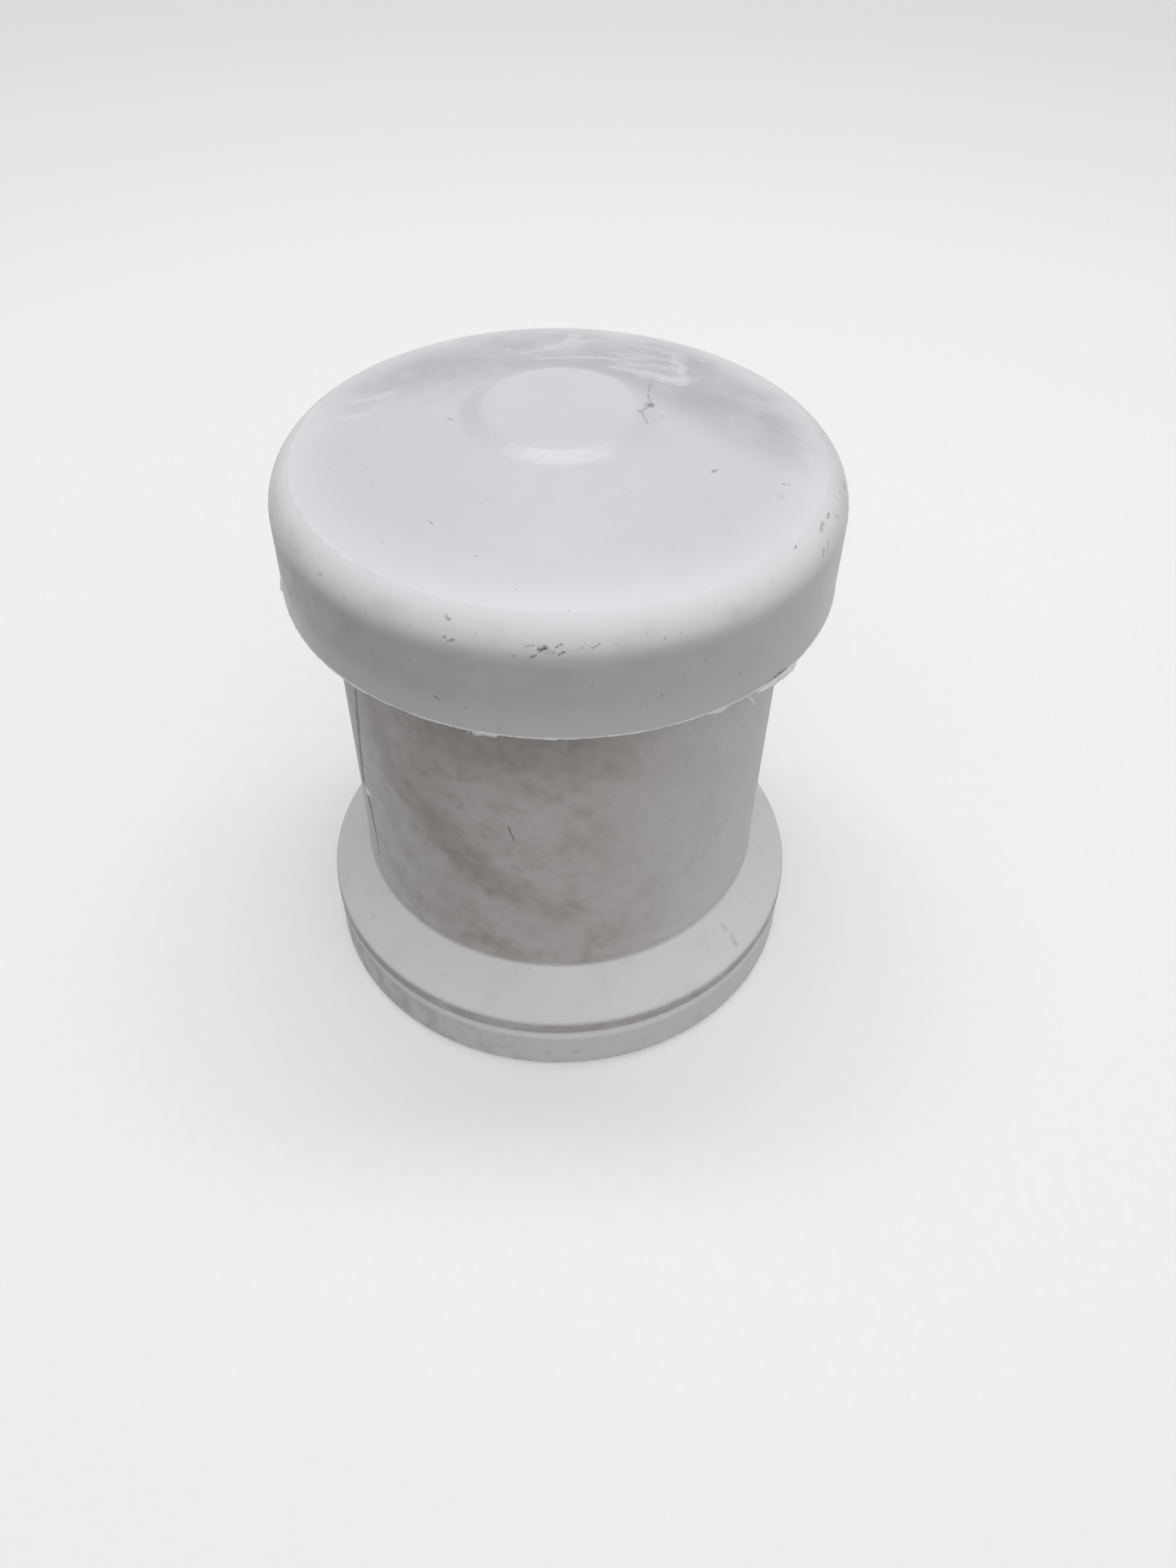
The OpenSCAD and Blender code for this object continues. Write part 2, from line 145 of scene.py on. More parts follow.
# %% A material, with its nodes made in one way
class Finish:
    """A material being built. mm is the place on the object in millimetres."""

    def __init__(self, name, **shader):
        self.material = bpy.data.materials.new(name)
        self.material.use_nodes = True
        self.tree = self.material.node_tree
        self.shader = self.tree.nodes["Principled BSDF"]
        self.set(**shader)
        place = self.node("ShaderNodeTexCoord", output="Object")
        self.mm = self.vector("SCALE", {0: place, "Scale": 1 / MM})

    def node(self, kind, settings=None, inputs=None, output=0):
        """Adds one node and returns one of its outputs, or all those that a tuple names."""
        made = self.tree.nodes.new(kind)
        for name, setting in (settings or {}).items():
            setattr(made, name, setting)
        for name, value in (inputs or {}).items():
            self.join(made.inputs[name], value)
        if isinstance(output, tuple):
            return [Value(self, made.outputs[name]) for name in output]
        return Value(self, made.outputs[output])

    def vector(self, operation, inputs):
        """A sum with vectors: its vector, or its number where the operation gives one."""
        wanted = "Value" if operation in ("LENGTH", "DISTANCE", "DOT_PRODUCT") else "Vector"
        return self.node("ShaderNodeVectorMath", {"operation": operation}, inputs, wanted)

    def join(self, socket, value):
        """Links a value that varies to a socket, or sets one that doesn't."""
        if isinstance(value, Value):
            self.tree.links.new(value.socket, socket)
        else:
            socket.default_value = value

    def set(self, **shader):
        """Joins values to the shader's sockets: base_color goes to Base Color."""
        for name, value in shader.items():
            wanted = name.replace("_", " ").lower()
            socket = next(s for s in self.shader.inputs if s.name.lower() == wanted)
            self.join(socket, value)

    def blend(self, share, first, second):
        """The first colour, or the second where share is 1."""
        return self.node("ShaderNodeMix", {"data_type": "RGBA"},
                         {0: share, 6: first, 7: second}, 2)

    def rise(self, value, low, high):
        """0 where value is low, 1 where it is high, with a soft climb between."""
        smooth = {"interpolation_type": "SMOOTHSTEP", "clamp": False}
        return self.node("ShaderNodeMapRange", smooth,
                         {"Value": value, "From Min": low, "From Max": high})

    def between(self, value, foot, full, fall, end):
        """0 below foot, 1 from full to fall, and 0 again above end, with soft climbs."""
        return self.rise(value, foot, full) * (1 - self.rise(value, fall, end))

    def axes(self, vector):
        """The three parts of a vector: along x, y and z."""
        return self.node("ShaderNodeSeparateXYZ", inputs={0: vector}, output=("X", "Y", "Z"))

    def length(self, across, ahead):
        """The root of the sum of the two squares: how far a place is from the axis."""
        flat = self.node("ShaderNodeCombineXYZ", inputs={0: across, 1: ahead})
        return self.vector("LENGTH", {0: flat})


# %% [markdown]
# ## Patterns of wear
# Dust, stains and bumps can be painted by hand on an unwrapped surface, or worked out from
# the place on the object. The second way needs no unwrapping and has no seams. Noise gives
# clouds and grain, Voronoi cells give specks. A stroke is all that lies near a short line.
# Ragged coordinates, pushed about by fine noise, keep its edges from being clean.

# %% Noise, clouds and specks
def shifted(finish, seed, place=None):
    """The place moved a long way by the seed, so that each seed gives another pattern."""
    far = (61.7 * seed, 37.3 * seed, 83.9 * seed)
    return finish.vector("ADD", {0: place or finish.mm, 1: far})


def noise(finish, size, seed=0.0, detail=3.0, place=None):
    """Fractal noise about 0.5, with features about size mm across."""
    return finish.node("ShaderNodeTexNoise", {"noise_dimensions": "3D"},
                       {"Vector": shifted(finish, seed, place), "Scale": 1 / size,
                        "Detail": detail, "Roughness": 0.6})


def cloud(finish, size, low, high, seed=0.0, detail=3.0, place=None):
    """Noise with its ends cut off: 0 where it is below low and 1 where it is above high."""
    return finish.rise(noise(finish, size, seed, detail, place), low, high)


def drawn_out(finish, turn_deg, stretch):
    """The place turned about the axis and then pressed together along x, so that noise there
    comes out as streaks, 1 / stretch times as long as they are wide."""
    turned = finish.node("ShaderNodeVectorRotate", {"rotation_type": "Z_AXIS"},
                         {"Vector": finish.mm, "Angle": float(np.radians(turn_deg))})
    return finish.vector("MULTIPLY", {0: turned, 1: (stretch, 1.0, 1.0)})


def specks(finish, spacing, radius, share, seed=0.0):
    """Round specks on a jittered grid: the distance to a cell's point is less than radius mm,
    in the share of the cells whose random colour is high enough."""
    distance, colour = finish.node("ShaderNodeTexVoronoi", {"voronoi_dimensions": "3D"},
                                   {"Vector": shifted(finish, seed), "Scale": 1 / spacing},
                                   ("Distance", "Color"))
    pick = finish.node("ShaderNodeSeparateColor", inputs={0: colour})
    dot = 1 - finish.rise(distance, radius / spacing * 0.5, radius / spacing)
    return dot * finish.rise(pick, 1 - share, 1.02 - share)


# %% Strokes and bumps
DOT_MM = 0.45


def ragged(finish, size, reach, seed=0.0):
    """The place in mm, pushed about by noise of that size by up to reach mm."""
    push = finish.node("ShaderNodeTexNoise", {"noise_dimensions": "3D"},
                       {"Vector": shifted(finish, seed), "Scale": 1 / size, "Detail": 2.0},
                       "Color")
    back = finish.vector("SUBTRACT", {0: finish.mm, 1: (reach,) * 3})
    return finish.vector("MULTIPLY_ADD", {0: push, 1: (2 * reach,) * 3, 2: back})


def reach_of(finish, place, start, end):
    """The distance in mm to the line from start to end. Its nearest point lies at the share
    t = (place - start) . line / line . line of it, held between 0 and 1. A line that is as
    good as a dot counts as its middle."""
    line = Vector(end) - Vector(start)
    if line.length < DOT_MM:
        return finish.vector("DISTANCE", {0: place, 1: (Vector(start) + Vector(end)) / 2})
    away = finish.vector("SUBTRACT", {0: place, 1: start})
    share = finish.vector("DOT_PRODUCT", {0: away, 1: line / line.length_squared})
    share = finish.node("ShaderNodeClamp", inputs={"Value": share})
    nearest = finish.vector("SCALE", {0: line, "Scale": share})
    return finish.vector("DISTANCE", {0: away, 1: nearest})


def strokes(finish, place, marks, edge=0.6):
    """The strongest of many marks. A mark is (start, end, width, strength). It falls off as
    strength - strength * distance / half the width, and edge says over what share of the
    strength its edge goes from 0 to full."""
    total = 0.0
    for start, end, width, strength in marks:
        slope = -2 * strength / width
        one = finish.node("ShaderNodeMath", {"operation": "MULTIPLY_ADD"},
                          {0: reach_of(finish, place, start, end), 1: slope, 2: strength})
        total = total | one
    return finish.node("ShaderNodeMath", {"operation": "MULTIPLY", "use_clamp": True},
                       {0: total, 1: 1 / edge})


def soft_strokes(finish, place, marks, edge):
    """Strokes that climb softly, so that no ridge shows along the middle of a wide one."""
    return finish.rise(strokes(finish, place, marks, edge), 0.0, 1.0)


def bump(finish, height_mm):
    """The surface's normal, where it stands out by height_mm."""
    return finish.node("ShaderNodeBump", inputs={"Height": height_mm, "Distance": MM,
                                                 "Strength": 1.0}, output="Normal")


# %% [markdown]
# ## Light
# The photograph was taken out of doors under a bright, soft sky, with darker things round
# about. A sky image could give that, but a part in a library should be lit plainly. So the
# sky here is a smooth dome, brightest overhead and high in front, and a little brighter to
# the front right. One long softbox hangs above. It gives the broken highlight on the band
# round the crown. For rays that the camera, gloss or glass send out, sky and floor are
# white, which keeps the background pale without more light on the valve.

# %% Light the stage
WHITE = (1.0, 1.0, 1.0, 1.0)
HORIZON_WARM = (1.0, 0.968, 0.95, 1)
ZENITH_COOL = (0.978, 0.985, 1.0, 1)
EVEN_SKY, OVERHEAD, FROM_FRONT, FROM_RIGHT = 0.085, 0.345, 0.605, 0.72


class Sky(Finish):
    """The world's own node tree, built with the same methods as a material."""

    def __init__(self, world):
        world.use_nodes = True
        self.tree = world.node_tree
        self.shader = self.tree.nodes["Background"]


def background_ray(finish):
    """1 for the rays that show the background: from the camera, off gloss and through glass."""
    return (finish.node("ShaderNodeLightPath", output="Is Camera Ray")
            | finish.node("ShaderNodeLightPath", output="Is Glossy Ray")
            | finish.node("ShaderNodeLightPath", output="Is Transmission Ray"))


scene.world = bpy.data.worlds.new("studio_dome")
sky = Sky(scene.world)
across, ahead, height = sky.axes(sky.node("ShaderNodeTexCoord", output="Generated"))
up = height | 0.0
front_high = (0.8 * height - 0.59 * ahead - 0.1 * across) | 0.0
front_right = (0.6 * across - 0.8 * ahead) | 0.0
dome = (EVEN_SKY + OVERHEAD * up * up * up
        + FROM_FRONT * front_high * front_high * front_high
        + FROM_RIGHT * front_right * front_right * front_right)
seen = background_ray(sky)
sky.join(sky.shader.inputs["Strength"], dome * (1 - seen) + seen)
warm_to_cool = sky.blend(sky.rise(height, 0.0, 0.6), HORIZON_WARM, ZENITH_COOL)
sky.join(sky.shader.inputs["Color"], sky.blend(seen, warm_to_cool, WHITE))
print("sky: a dome that is brightest overhead and high in front")

# %% Hang the softbox
SOFTBOX_M = (0.5, 0.11)
SOFTBOX_AT = (0.02, 0.085, 0.52)
SOFTBOX_WATTS = 0.88
softbox = bpy.data.lights.new("overhead_softbox", "AREA")
softbox.shape = "RECTANGLE"
softbox.size, softbox.size_y = SOFTBOX_M
softbox.energy = SOFTBOX_WATTS
hung = bpy.data.objects.new("overhead_softbox", softbox)
hung.location = SOFTBOX_AT
hung.visible_camera = False
scene.collection.objects.link(hung)
print(f"softbox: {SOFTBOX_M[0]} by {SOFTBOX_M[1]} m, {SOFTBOX_AT[2]} m up")

# %% [markdown]
# ## Floor
# The floor is one large sheet of pale paper. It looks nearly white, so that the valve stands
# out as in the photograph, and it keeps the valve's soft shadow. To light that bounces off
# it, it is much darker: the real valve stood on something dark, and its lower half shows that.

# %% Lay the floor
FLOOR_HALF_M = 3.0
FLOOR_DROP_M = 0.0001
PAPER_DARK = (0.16, 0.155, 0.15, 1)
PAPER_PALE, PAPER_FIBRE = (0.9, 0.9, 0.9, 1), (0.93, 0.93, 0.925, 1)
NO_GLOW, PAPER_GLOW = (0.0, 0.0, 0.0, 1), (0.2, 0.2, 0.2, 1)


def smooth_mesh(name, points, faces):
    """A smooth-shaded mesh from an array of points in metres and a list of faces."""
    mesh = bpy.data.meshes.new(name)
    mesh.from_pydata(points.tolist(), [], faces)
    mesh.polygons.foreach_set("use_smooth", np.ones(len(mesh.polygons), bool))
    return mesh


def sheet_mesh(name, x, y, z):
    """A mesh from three arrays on one grid: each grid cell becomes one quad."""
    index = np.arange(x.size).reshape(x.shape)
    quads = np.stack([index[:-1, :-1], index[:-1, 1:], index[1:, 1:], index[1:, :-1]], -1)
    return smooth_mesh(name, np.stack([x, y, z], -1).reshape(-1, 3),
                       quads.reshape(-1, 4).tolist())


paper = Finish("floor_paper", roughness=1.0, specular_ior_level=0.0, emission_strength=1.0)
seen = background_ray(paper)
fibre = cloud(paper, 1.5, 0.3, 0.7, detail=4.0)
pale = paper.blend(fibre, PAPER_PALE, PAPER_FIBRE)
paper.set(base_color=paper.blend(seen, PAPER_DARK, pale),
          emission_color=paper.blend(seen, NO_GLOW, PAPER_GLOW))
run = np.linspace(-FLOOR_HALF_M, FLOOR_HALF_M, 9)
floor_x, floor_y = np.meshgrid(run, run)
floor_z = np.full_like(floor_x, -FLOOR_DROP_M)
floor = bpy.data.objects.new("floor", sheet_mesh("floor", floor_x, floor_y, floor_z))
floor.data.materials.append(paper.material)
scene.collection.objects.link(floor)
print("floor:", len(floor.data.polygons), "quads")

# %% [markdown]
# ## Marks on the hood
# The hood has taken knocks from every side. Each mark below was found in the photograph and
# set at the same place on the hood: where it starts, where it ends, how wide it is and how
# strong. A painted texture would do the same, but a list of real sizes can be read, moved
# and reused.

# %% Where the hood is marked
CRACK = [
    ((10.2, 7.52, 79.91), (10.04, 4.31, 80.34), 0.41, 0.52),
    ((10.04, 4.31, 80.34), (10.17, 2.26, 80.54), 0.52, 0.72),
    ((9.9, 1.2, 80.7), (10.4, 2.0, 80.5), 1.25, 1),
    ((9.82, 0.72, 80.78), (8.9, -1.1, 81.13), 0.56, 0.59),
    ((9.16, -1.01, 81.04), (9.58, -2.55, 80.75), 0.59, 0.65),
    ((11.3, -0.1, 80.2), (11.5, -0.2, 80.2), 0.88, 0.26),
]
TOP_SPECKS = [
    ((16.7, -8.9, 78.5), (17.2, -8.4, 78.4), 0.6, 0.55),
    ((24.7, -8.3, 76.8), (25.5, -8.2, 76.6), 0.7, 0.35),
    ((24.3, -10.5, 76.7), (24.3, -10.9, 76.7), 1.3, 0.15),
    ((26.24, 5.98, 76.63), (26.34, 6.03, 76.6), 0.4, 0.35),
    ((8.99, -16.33, 78.54), (8.99, -16.56, 78.49), 0.26, 0.85),
    ((7.2, -14.81, 79.04), (7.23, -14.81, 79.03), 0.3, 0.35),
    ((1.17, -3.29, 81.3), (1.18, -3.64, 81.3), 0.3, 0.4),
    ((-12.48, -1.13, 79.95), (-11.88, -1.84, 80.06), 0.5, 0.35),
    ((-19.67, -11.31, 77.6), (-19.64, -11.39, 77.6), 0.25, 0.6),
    ((-13.48, -19.65, 77.34), (-13.44, -19.67, 77.34), 0.2, 0.4),
    ((-17.51, -20.68, 76.58), (-17.47, -20.68, 76.59), 0.25, 0.5),
    ((-23.19, -18.63, 75.97), (-23.13, -18.7, 75.97), 0.25, 0.4),
    ((-3.84, -14.22, 79.44), (-3.83, -14.38, 79.4), 0.22, 0.45),
    ((-13.31, -17.9, 77.69), (-12.78, -18.31, 77.68), 0.13, 0.65),
    ((-12.78, -18.31, 77.68), (-12.47, -18.74, 77.64), 0.16, 0.8),
]
RIGHT_RIM = [
    ((30.64, -7.74, 75.16), (30.61, -8.01, 75.13), 0.62, 0.45),
    ((29.51, -11.35, 75.15), (29.35, -12.11, 75.04), 0.53, 0.6),
    ((30.45, -10.76, 74.49), (30.89, -10.52, 74.05), 0.4, 0.45),
    ((28.7, -13.2, 75.2), (28.3, -14.5, 75.0), 0.75, 0.55),
    ((29.3, -14.58, 73.9), (29.2, -15.42, 73.38), 0.38, 0.45),
    ((28.65, -16.01, 73.76), (28.56, -16.59, 73.36), 0.56, 0.6),
    ((25.07, -18.59, 75.44), (25.27, -18.12, 75.51), 0.25, 0.8),
    ((32.45, -3.19, 74.1), (32.26, -4.56, 74.13), 0.62, 0.3),
]
FRONT_RIM = [
    ((-10.29, -30.29, 74.82), (-9.89, -30.64, 74.61), 0.45, 0.55),
    ((-10.06, -30.09, 75.05), (-10.13, -30.32, 74.84), 0.25, 0.4),
    ((-10.53, -31.43, 73.09), (-10.21, -31.54, 73.08), 0.45, 0.75),
    ((-9.98, -31.71, 72.83), (-9.42, -31.81, 73.02), 0.4, 0.7),
    ((-13.91, -30.0, 73.27), (-13.83, -30.04, 73.27), 0.5, 0.35),
    ((-21.23, -25.47, 73.07), (-21.04, -25.59, 73.13), 0.62, 0.35),
    ((-24.34, -22.11, 73.64), (-23.85, -22.54, 73.77), 0.5, 0.35),
    ((-7.29, -31.98, 73.8), (-7.06, -31.88, 74.02), 0.25, 0.4),
    ((-3.59, -33.2, 72.25), (-3.28, -33.21, 72.36), 0.5, 0.4),
    ((-2.28, -32.95, 73.35), (-1.59, -32.94, 73.46), 0.44, 0.45),
    ((-0.9, -33.1, 73.1), (-0.4, -33.1, 73.3), 0.88, 0.9),
    ((-1.83, -33.36, 72.18), (-1.36, -33.31, 72.49), 0.45, 0.9),
    ((0.01, -33.2, 72.93), (0.55, -33.25, 72.79), 0.62, 0.3),
    ((0.62, -33.03, 73.34), (1.15, -32.88, 73.62), 0.34, 0.75),
    ((0.93, -33.29, 72.63), (1.39, -33.2, 72.87), 0.38, 0.8),
    ((2.98, -32.98, 73.17), (3.36, -32.85, 73.37), 0.38, 0.75),
    ((4.12, -32.85, 73.19), (4.88, -32.56, 73.57), 0.28, 0.65),
    ((1.84, -30.42, 75.8), (1.91, -30.42, 75.8), 0.38, 0.35),
    ((9.39, -31.34, 73.93), (9.46, -31.32, 73.92), 0.38, 0.35),
    ((11.27, -31.1, 73.25), (11.35, -31.09, 73.2), 0.5, 0.4),
    ((12.83, -30.38, 73.46), (12.84, -30.52, 73.17), 0.38, 0.35),
    ((-0.37, -33.21, 72.92), (-0.14, -33.28, 72.7), 0.38, 0.4),
    ((2.6, -33.05, 73.07), (2.83, -33.03, 73.06), 0.25, 0.35),
]
SKIRT_SPECKS_AND_GAP_SHADE = [
    ((-11.89, -31.32, 65.15), (-11.48, -31.47, 64.97), 0.45, 0.8),
    ((-8.85, -32.31, 64.66), (-8.68, -32.35, 64.6), 0.45, 0.55),
    ((-14.25, -30.32, 69.13), (-14.19, -30.34, 69.12), 0.5, 0.3),
    ((-1.95, -33.44, 64.9), (-1.79, -33.45, 65.02), 0.38, 0.55),
    ((-5.33, -33.07, 62.57), (-5.17, -33.1, 62.6), 0.62, 0.3),
    ((4.17, -33.24, 68.66), (4.24, -33.23, 68.66), 0.44, 0.55),
    ((15.65, -29.62, 69.22), (15.73, -29.58, 69.18), 0.44, 0.35),
    ((19.66, -27.13, 65.57), (19.79, -27.03, 65.49), 0.44, 0.55),
    ((11.2, -31.6, 66.2), (11.5, -31.5, 66.1), 0.88, 0.25),
    ((20.36, -26.48, 72.2), (20.41, -26.45, 72.18), 0.38, 0.3),
    ((22.39, -23.22, 74.54), (22.43, -23.19, 74.53), 0.38, 0.35),
    # The last three draw a dark line above the torn strips: painted shade of the gap between the
    # strips and the skirt.
    ((23.3, -24.06, 61.74), (24.22, -23.14, 61.8), 0.4, 0.7),
    ((24.22, -23.14, 61.8), (25.0, -22.3, 61.85), 0.75, 1.0),
    ((25.0, -22.3, 61.85), (25.58, -21.62, 61.8), 0.55, 0.9),
]
SMUDGES = [
    ((20.0, 6.1, 78.0), (25.9, 4.1, 76.8), 5, 0.8),
    ((25.9, 3.5, 76.8), (28.5, 2.1, 76.2), 3, 0.5),
    ((17.0, 1.6, 78.9), (20.4, 4.7, 78.0), 3, 0.4),
]
HOOD_MARKS = TOP_SPECKS + RIGHT_RIM + FRONT_RIM + SKIRT_SPECKS_AND_GAP_SHADE
print("marks on the hood:", len(HOOD_MARKS), "and", len(CRACK), "pieces of the crack")

# %% [markdown]
# ## Smears on the hood
# Behind the crown and at the left edge, something was scraped off the hood. It left pale
# smears with raised, torn edges. They are strokes too. Wide ones fill the smears thinly,
# and narrow ones draw the torn edges. Both lift the surface.

# %% Where the hood is smeared
SMEAR_FILL = [
    ((-5.0, 17.5, 78.6), (-2.0, 19.7, 78.3), 2.3, 0.6),
    ((-2.0, 20.1, 78.2), (2.4, 23.4, 77.4), 3.9, 0.8),
    ((0.3, 22.6, 77.6), (1.4, 26.6, 76.7), 2.9, 1),
    ((2.4, 23.4, 77.4), (6.5, 26.0, 76.6), 3.1, 0.5),
    ((-2.7, 14.6, 79.4), (5.6, 16.0, 78.9), 2.2, 0.7),
    ((5.4, 15.5, 79.0), (9.2, 17.1, 78.4), 2.9, 0.6),
    ((6.3, 12.2, 79.7), (10.0, 11.6, 79.3), 2.9, 0.8),
    ((10.0, 11.6, 79.3), (13.6, 10.7, 78.8), 3.4, 1),
    ((7.7, 14.3, 79.1), (13.7, 15.4, 78.1), 4.2, 0.55),
    ((13.9, 21.1, 77.0), (14.5, 11.7, 78.5), 2.6, 0.8),
    ((12.3, 21.0, 77.2), (14.6, 22.8, 76.6), 1.8, 0.6),
    ((7.1, 24.2, 77.0), (12.3, 22.8, 76.9), 1.7, 0.6),
    ((-22.5, 7.8, 77.3), (-20.2, 8.8, 77.8), 1.6, 0.8),
    ((-23.4, 2.7, 77.4), (-21.7, 5.2, 77.7), 1.6, 0.75),
    ((-27.2, 9.9, 76.2), (-22.7, 9.0, 77.2), 1.3, 0.45),
    ((-27.5, 3.9, 76.4), (-27.0, 4.5, 76.5), 1.3, 0.5),
    ((-27.0, 4.5, 76.5), (-22.8, 3.4, 77.5), 1.2, 0.45),
    ((28.5, -1.9, 76.2), (29.2, -9.9, 75.7), 3.2, 0.35),
    ((-27.1, 8.1, 76.3), (-20.0, 7.9, 77.9), 2.6, 0.75),
    ((-27.7, 4.0, 76.4), (-22.6, 3.5, 77.6), 2.2, 0.7),
    ((6.8, 18.2, 78.3), (12.7, 18.7, 77.6), 3.9, 0.5),
    ((-7.8, 19.6, 78.0), (-4.9, 16.8, 78.8), 2.1, 0.4),
]
SMEAR_EDGE = [
    ((-5.6, 16.5, 78.8), (-3.0, 20.1, 78.2), 0.6, 0.9),
    ((-4.0, 14.6, 79.4), (-1.8, 15.2, 79.3), 0.7, 1),
    ((-1.8, 15.2, 79.3), (-0.3, 14.2, 79.6), 0.6, 1),
    ((-0.23, 13.48, 79.73), (4.09, 13.97, 79.48), 0.5, 0.6),
    ((5.1, 11.9, 79.9), (9.5, 10.2, 79.6), 0.8, 1),
    ((9.3, 9.8, 79.7), (13.4, 9.8, 79.0), 1.2, 1),
    ((7.3, 14.5, 79.1), (8.9, 17.8, 78.2), 0.6, 0.8),
    ((8.9, 17.8, 78.2), (9.7, 16.2, 78.5), 0.6, 0.8),
    ((14.6, 22.5, 76.6), (15.2, 16.8, 77.6), 0.6, 0.8),
    ((15.2, 16.8, 77.6), (14.6, 10.4, 78.7), 0.6, 0.9),
    ((15.7, 21.0, 76.8), (18.9, 20.4, 76.4), 0.7, 0.9),
    ((2.0, 25.8, 76.9), (6.0, 24.7, 77.0), 0.6, 0.7),
    ((15.3, 13.3, 78.2), (16.4, 13.9, 77.9), 0.7, 0.6),
    ((-22.3, 7.7, 77.4), (-20.3, 8.9, 77.7), 0.6, 0.75),
    ((-23.1, 2.8, 77.5), (-21.7, 5.2, 77.7), 0.6, 0.6),
]
print("smears on the hood:", len(SMEAR_FILL), "filled and", len(SMEAR_EDGE), "torn edges")

# %% [markdown]
# ## The hood's plastic
# The hood is a glossy white moulding with a cold tint. Dust lies on the half that faces away,
# and painted shade darkens that half and the rear of the band round the crown as well. Thin
# soil clouds the rim, and grit is trodden into the marks. The rim is painted lighter as a
# sheen, and a painted highlight runs along the crease at its top. The skirt is darker towards
# its top and its left: painted shade, with soil in it. The gloss is what tells plastic from
# paint: it is broken by a fine orange peel from the mould, by smears and grit, and on the band
# round the crown by small facets that sparkle. One noise over everything would look like
# stone. So each kind of wear, and each painted shade and highlight, is first found as a mask,
# 1 where it lies and 0 elsewhere, and then laid over the white like a coat of paint.

# %% Name the hood's colours and zones
# A zone's numbers say in mm where it starts and is full and, if there are four, where it
# fades and ends. A height is over the foot of the valve, a radius is from its axis.
HOOD_WHITE = (0.748, 0.754, 0.784, 1)
HOOD_AGED = (0.7, 0.7, 0.716, 1)
DUST_AND_SHADE = (0.53, 0.535, 0.555, 1)
RIM_SOIL = (0.5, 0.475, 0.45, 1)
BLACK_GRIT_AND_GAP_SHADE = (0.09, 0.085, 0.085, 1)
SCRAPED = (0.86, 0.865, 0.88, 1)
RIM_SHEEN = (0.88, 0.885, 0.905, 1)
BARE_EDGE_AND_HIGHLIGHT = (0.95, 0.955, 0.97, 1)
HOOD_SIDE = (0.77, 0.766, 0.768, 1)
SKIRT_SOIL_AND_SHADE = (0.54, 0.515, 0.51, 1)
TOP_Z = (74.0, 75.8)
SIDE_Z = (68.0, 72.4)
RIM_Z = (71.0, 73.2, 74.2, 75.6)
RIM_SHEEN_Z = (71.6, 73.4, 75.0, 77.4)
SKIRT_Z = (62.3, 67.0, 70.6, 72.8)
CROWN_EDGE_R = (8.2, 9.6)
CROWN_BAND_R = (8.0, 9.2, 10.6, 11.8)
CREASE_R = 30.65
CREASE_HALF = (0.05, 0.3)
print("hood: its top starts", TOP_Z[0], "mm up, the crown ends", CROWN_EDGE_R[0], "mm out")

# %% Find where the hood is dusty and soiled, and where shade and sheen are painted
hood = Finish("hood_plastic", specular_ior_level=0.5)
x, y, z = hood.axes(hood.mm)
radius = hood.length(x, y)
top = hood.rise(z, *TOP_Z)
band = hood.between(radius, *CROWN_BAND_R) * top
# Dust, with painted shade in it: the half that faces away and the rear of the band round the
# crown are darkened.
behind = hood.rise(y + (x | 0.0) * 0.4, 1.0, 13.0) * hood.rise(radius, *CROWN_EDGE_R) * top
dust_and_shade = behind | band * hood.rise(y, -9.0, 3.0) * 0.4
dust_and_shade = dust_and_shade * (0.55 + 0.45 * cloud(hood, 8.0, 0.35, 0.62, seed=1.0))
haze = cloud(hood, 11.0, 0.42, 0.72, seed=2.0) * 0.5
rim_band = hood.between(z, *RIM_Z)
soil = rim_band * cloud(hood, 4.0, 0.5, 0.74, seed=4.0, detail=5.0) * 0.22
# Painted sheen: the band of the rim is painted a lighter white where it catches the light.
rim_sheen = hood.between(z, *RIM_SHEEN_Z) * (1 - 0.5 * hood.rise(x, 26.0, 34.0))
left = 1 - hood.rise(x, -32.0, -8.0)
right = hood.rise(x, 6.0, 26.0)
# Painted shade with some soil: the skirt is darker towards its top and its left.
skirt_soil_and_shade = (hood.between(z, *SKIRT_Z) * (0.4 + 0.5 * left - 0.3 * right)
              * (0.75 + 0.5 * cloud(hood, 5.0, 0.4, 0.66, seed=19.0)))
print("hood: dust and soil from", len(hood.tree.nodes), "nodes")

# %% Find where the hood is knocked and torn, and where a highlight is painted on the crease
grit_place = ragged(hood, 0.3, 0.16)
crack_place = ragged(hood, 1.1, 0.45, seed=1.5)
torn_place = ragged(hood, 1.7, 1.15, seed=3.0)
smudge = (strokes(hood, torn_place, SMUDGES, edge=1.0)
          * cloud(hood, 1.6, 0.38, 0.66, seed=5.0) * 0.5)
grains = specks(hood, 2.2, 0.11, 0.3, seed=6.0) * 0.5
broken = 0.3 + 0.7 * cloud(hood, 0.26, 0.38, 0.6, seed=8.0, detail=1.0)
scuffs = (rim_band * cloud(hood, 0.5, 0.66, 0.74, seed=9.0)
          * cloud(hood, 6.0, 0.52, 0.66, seed=10.0))
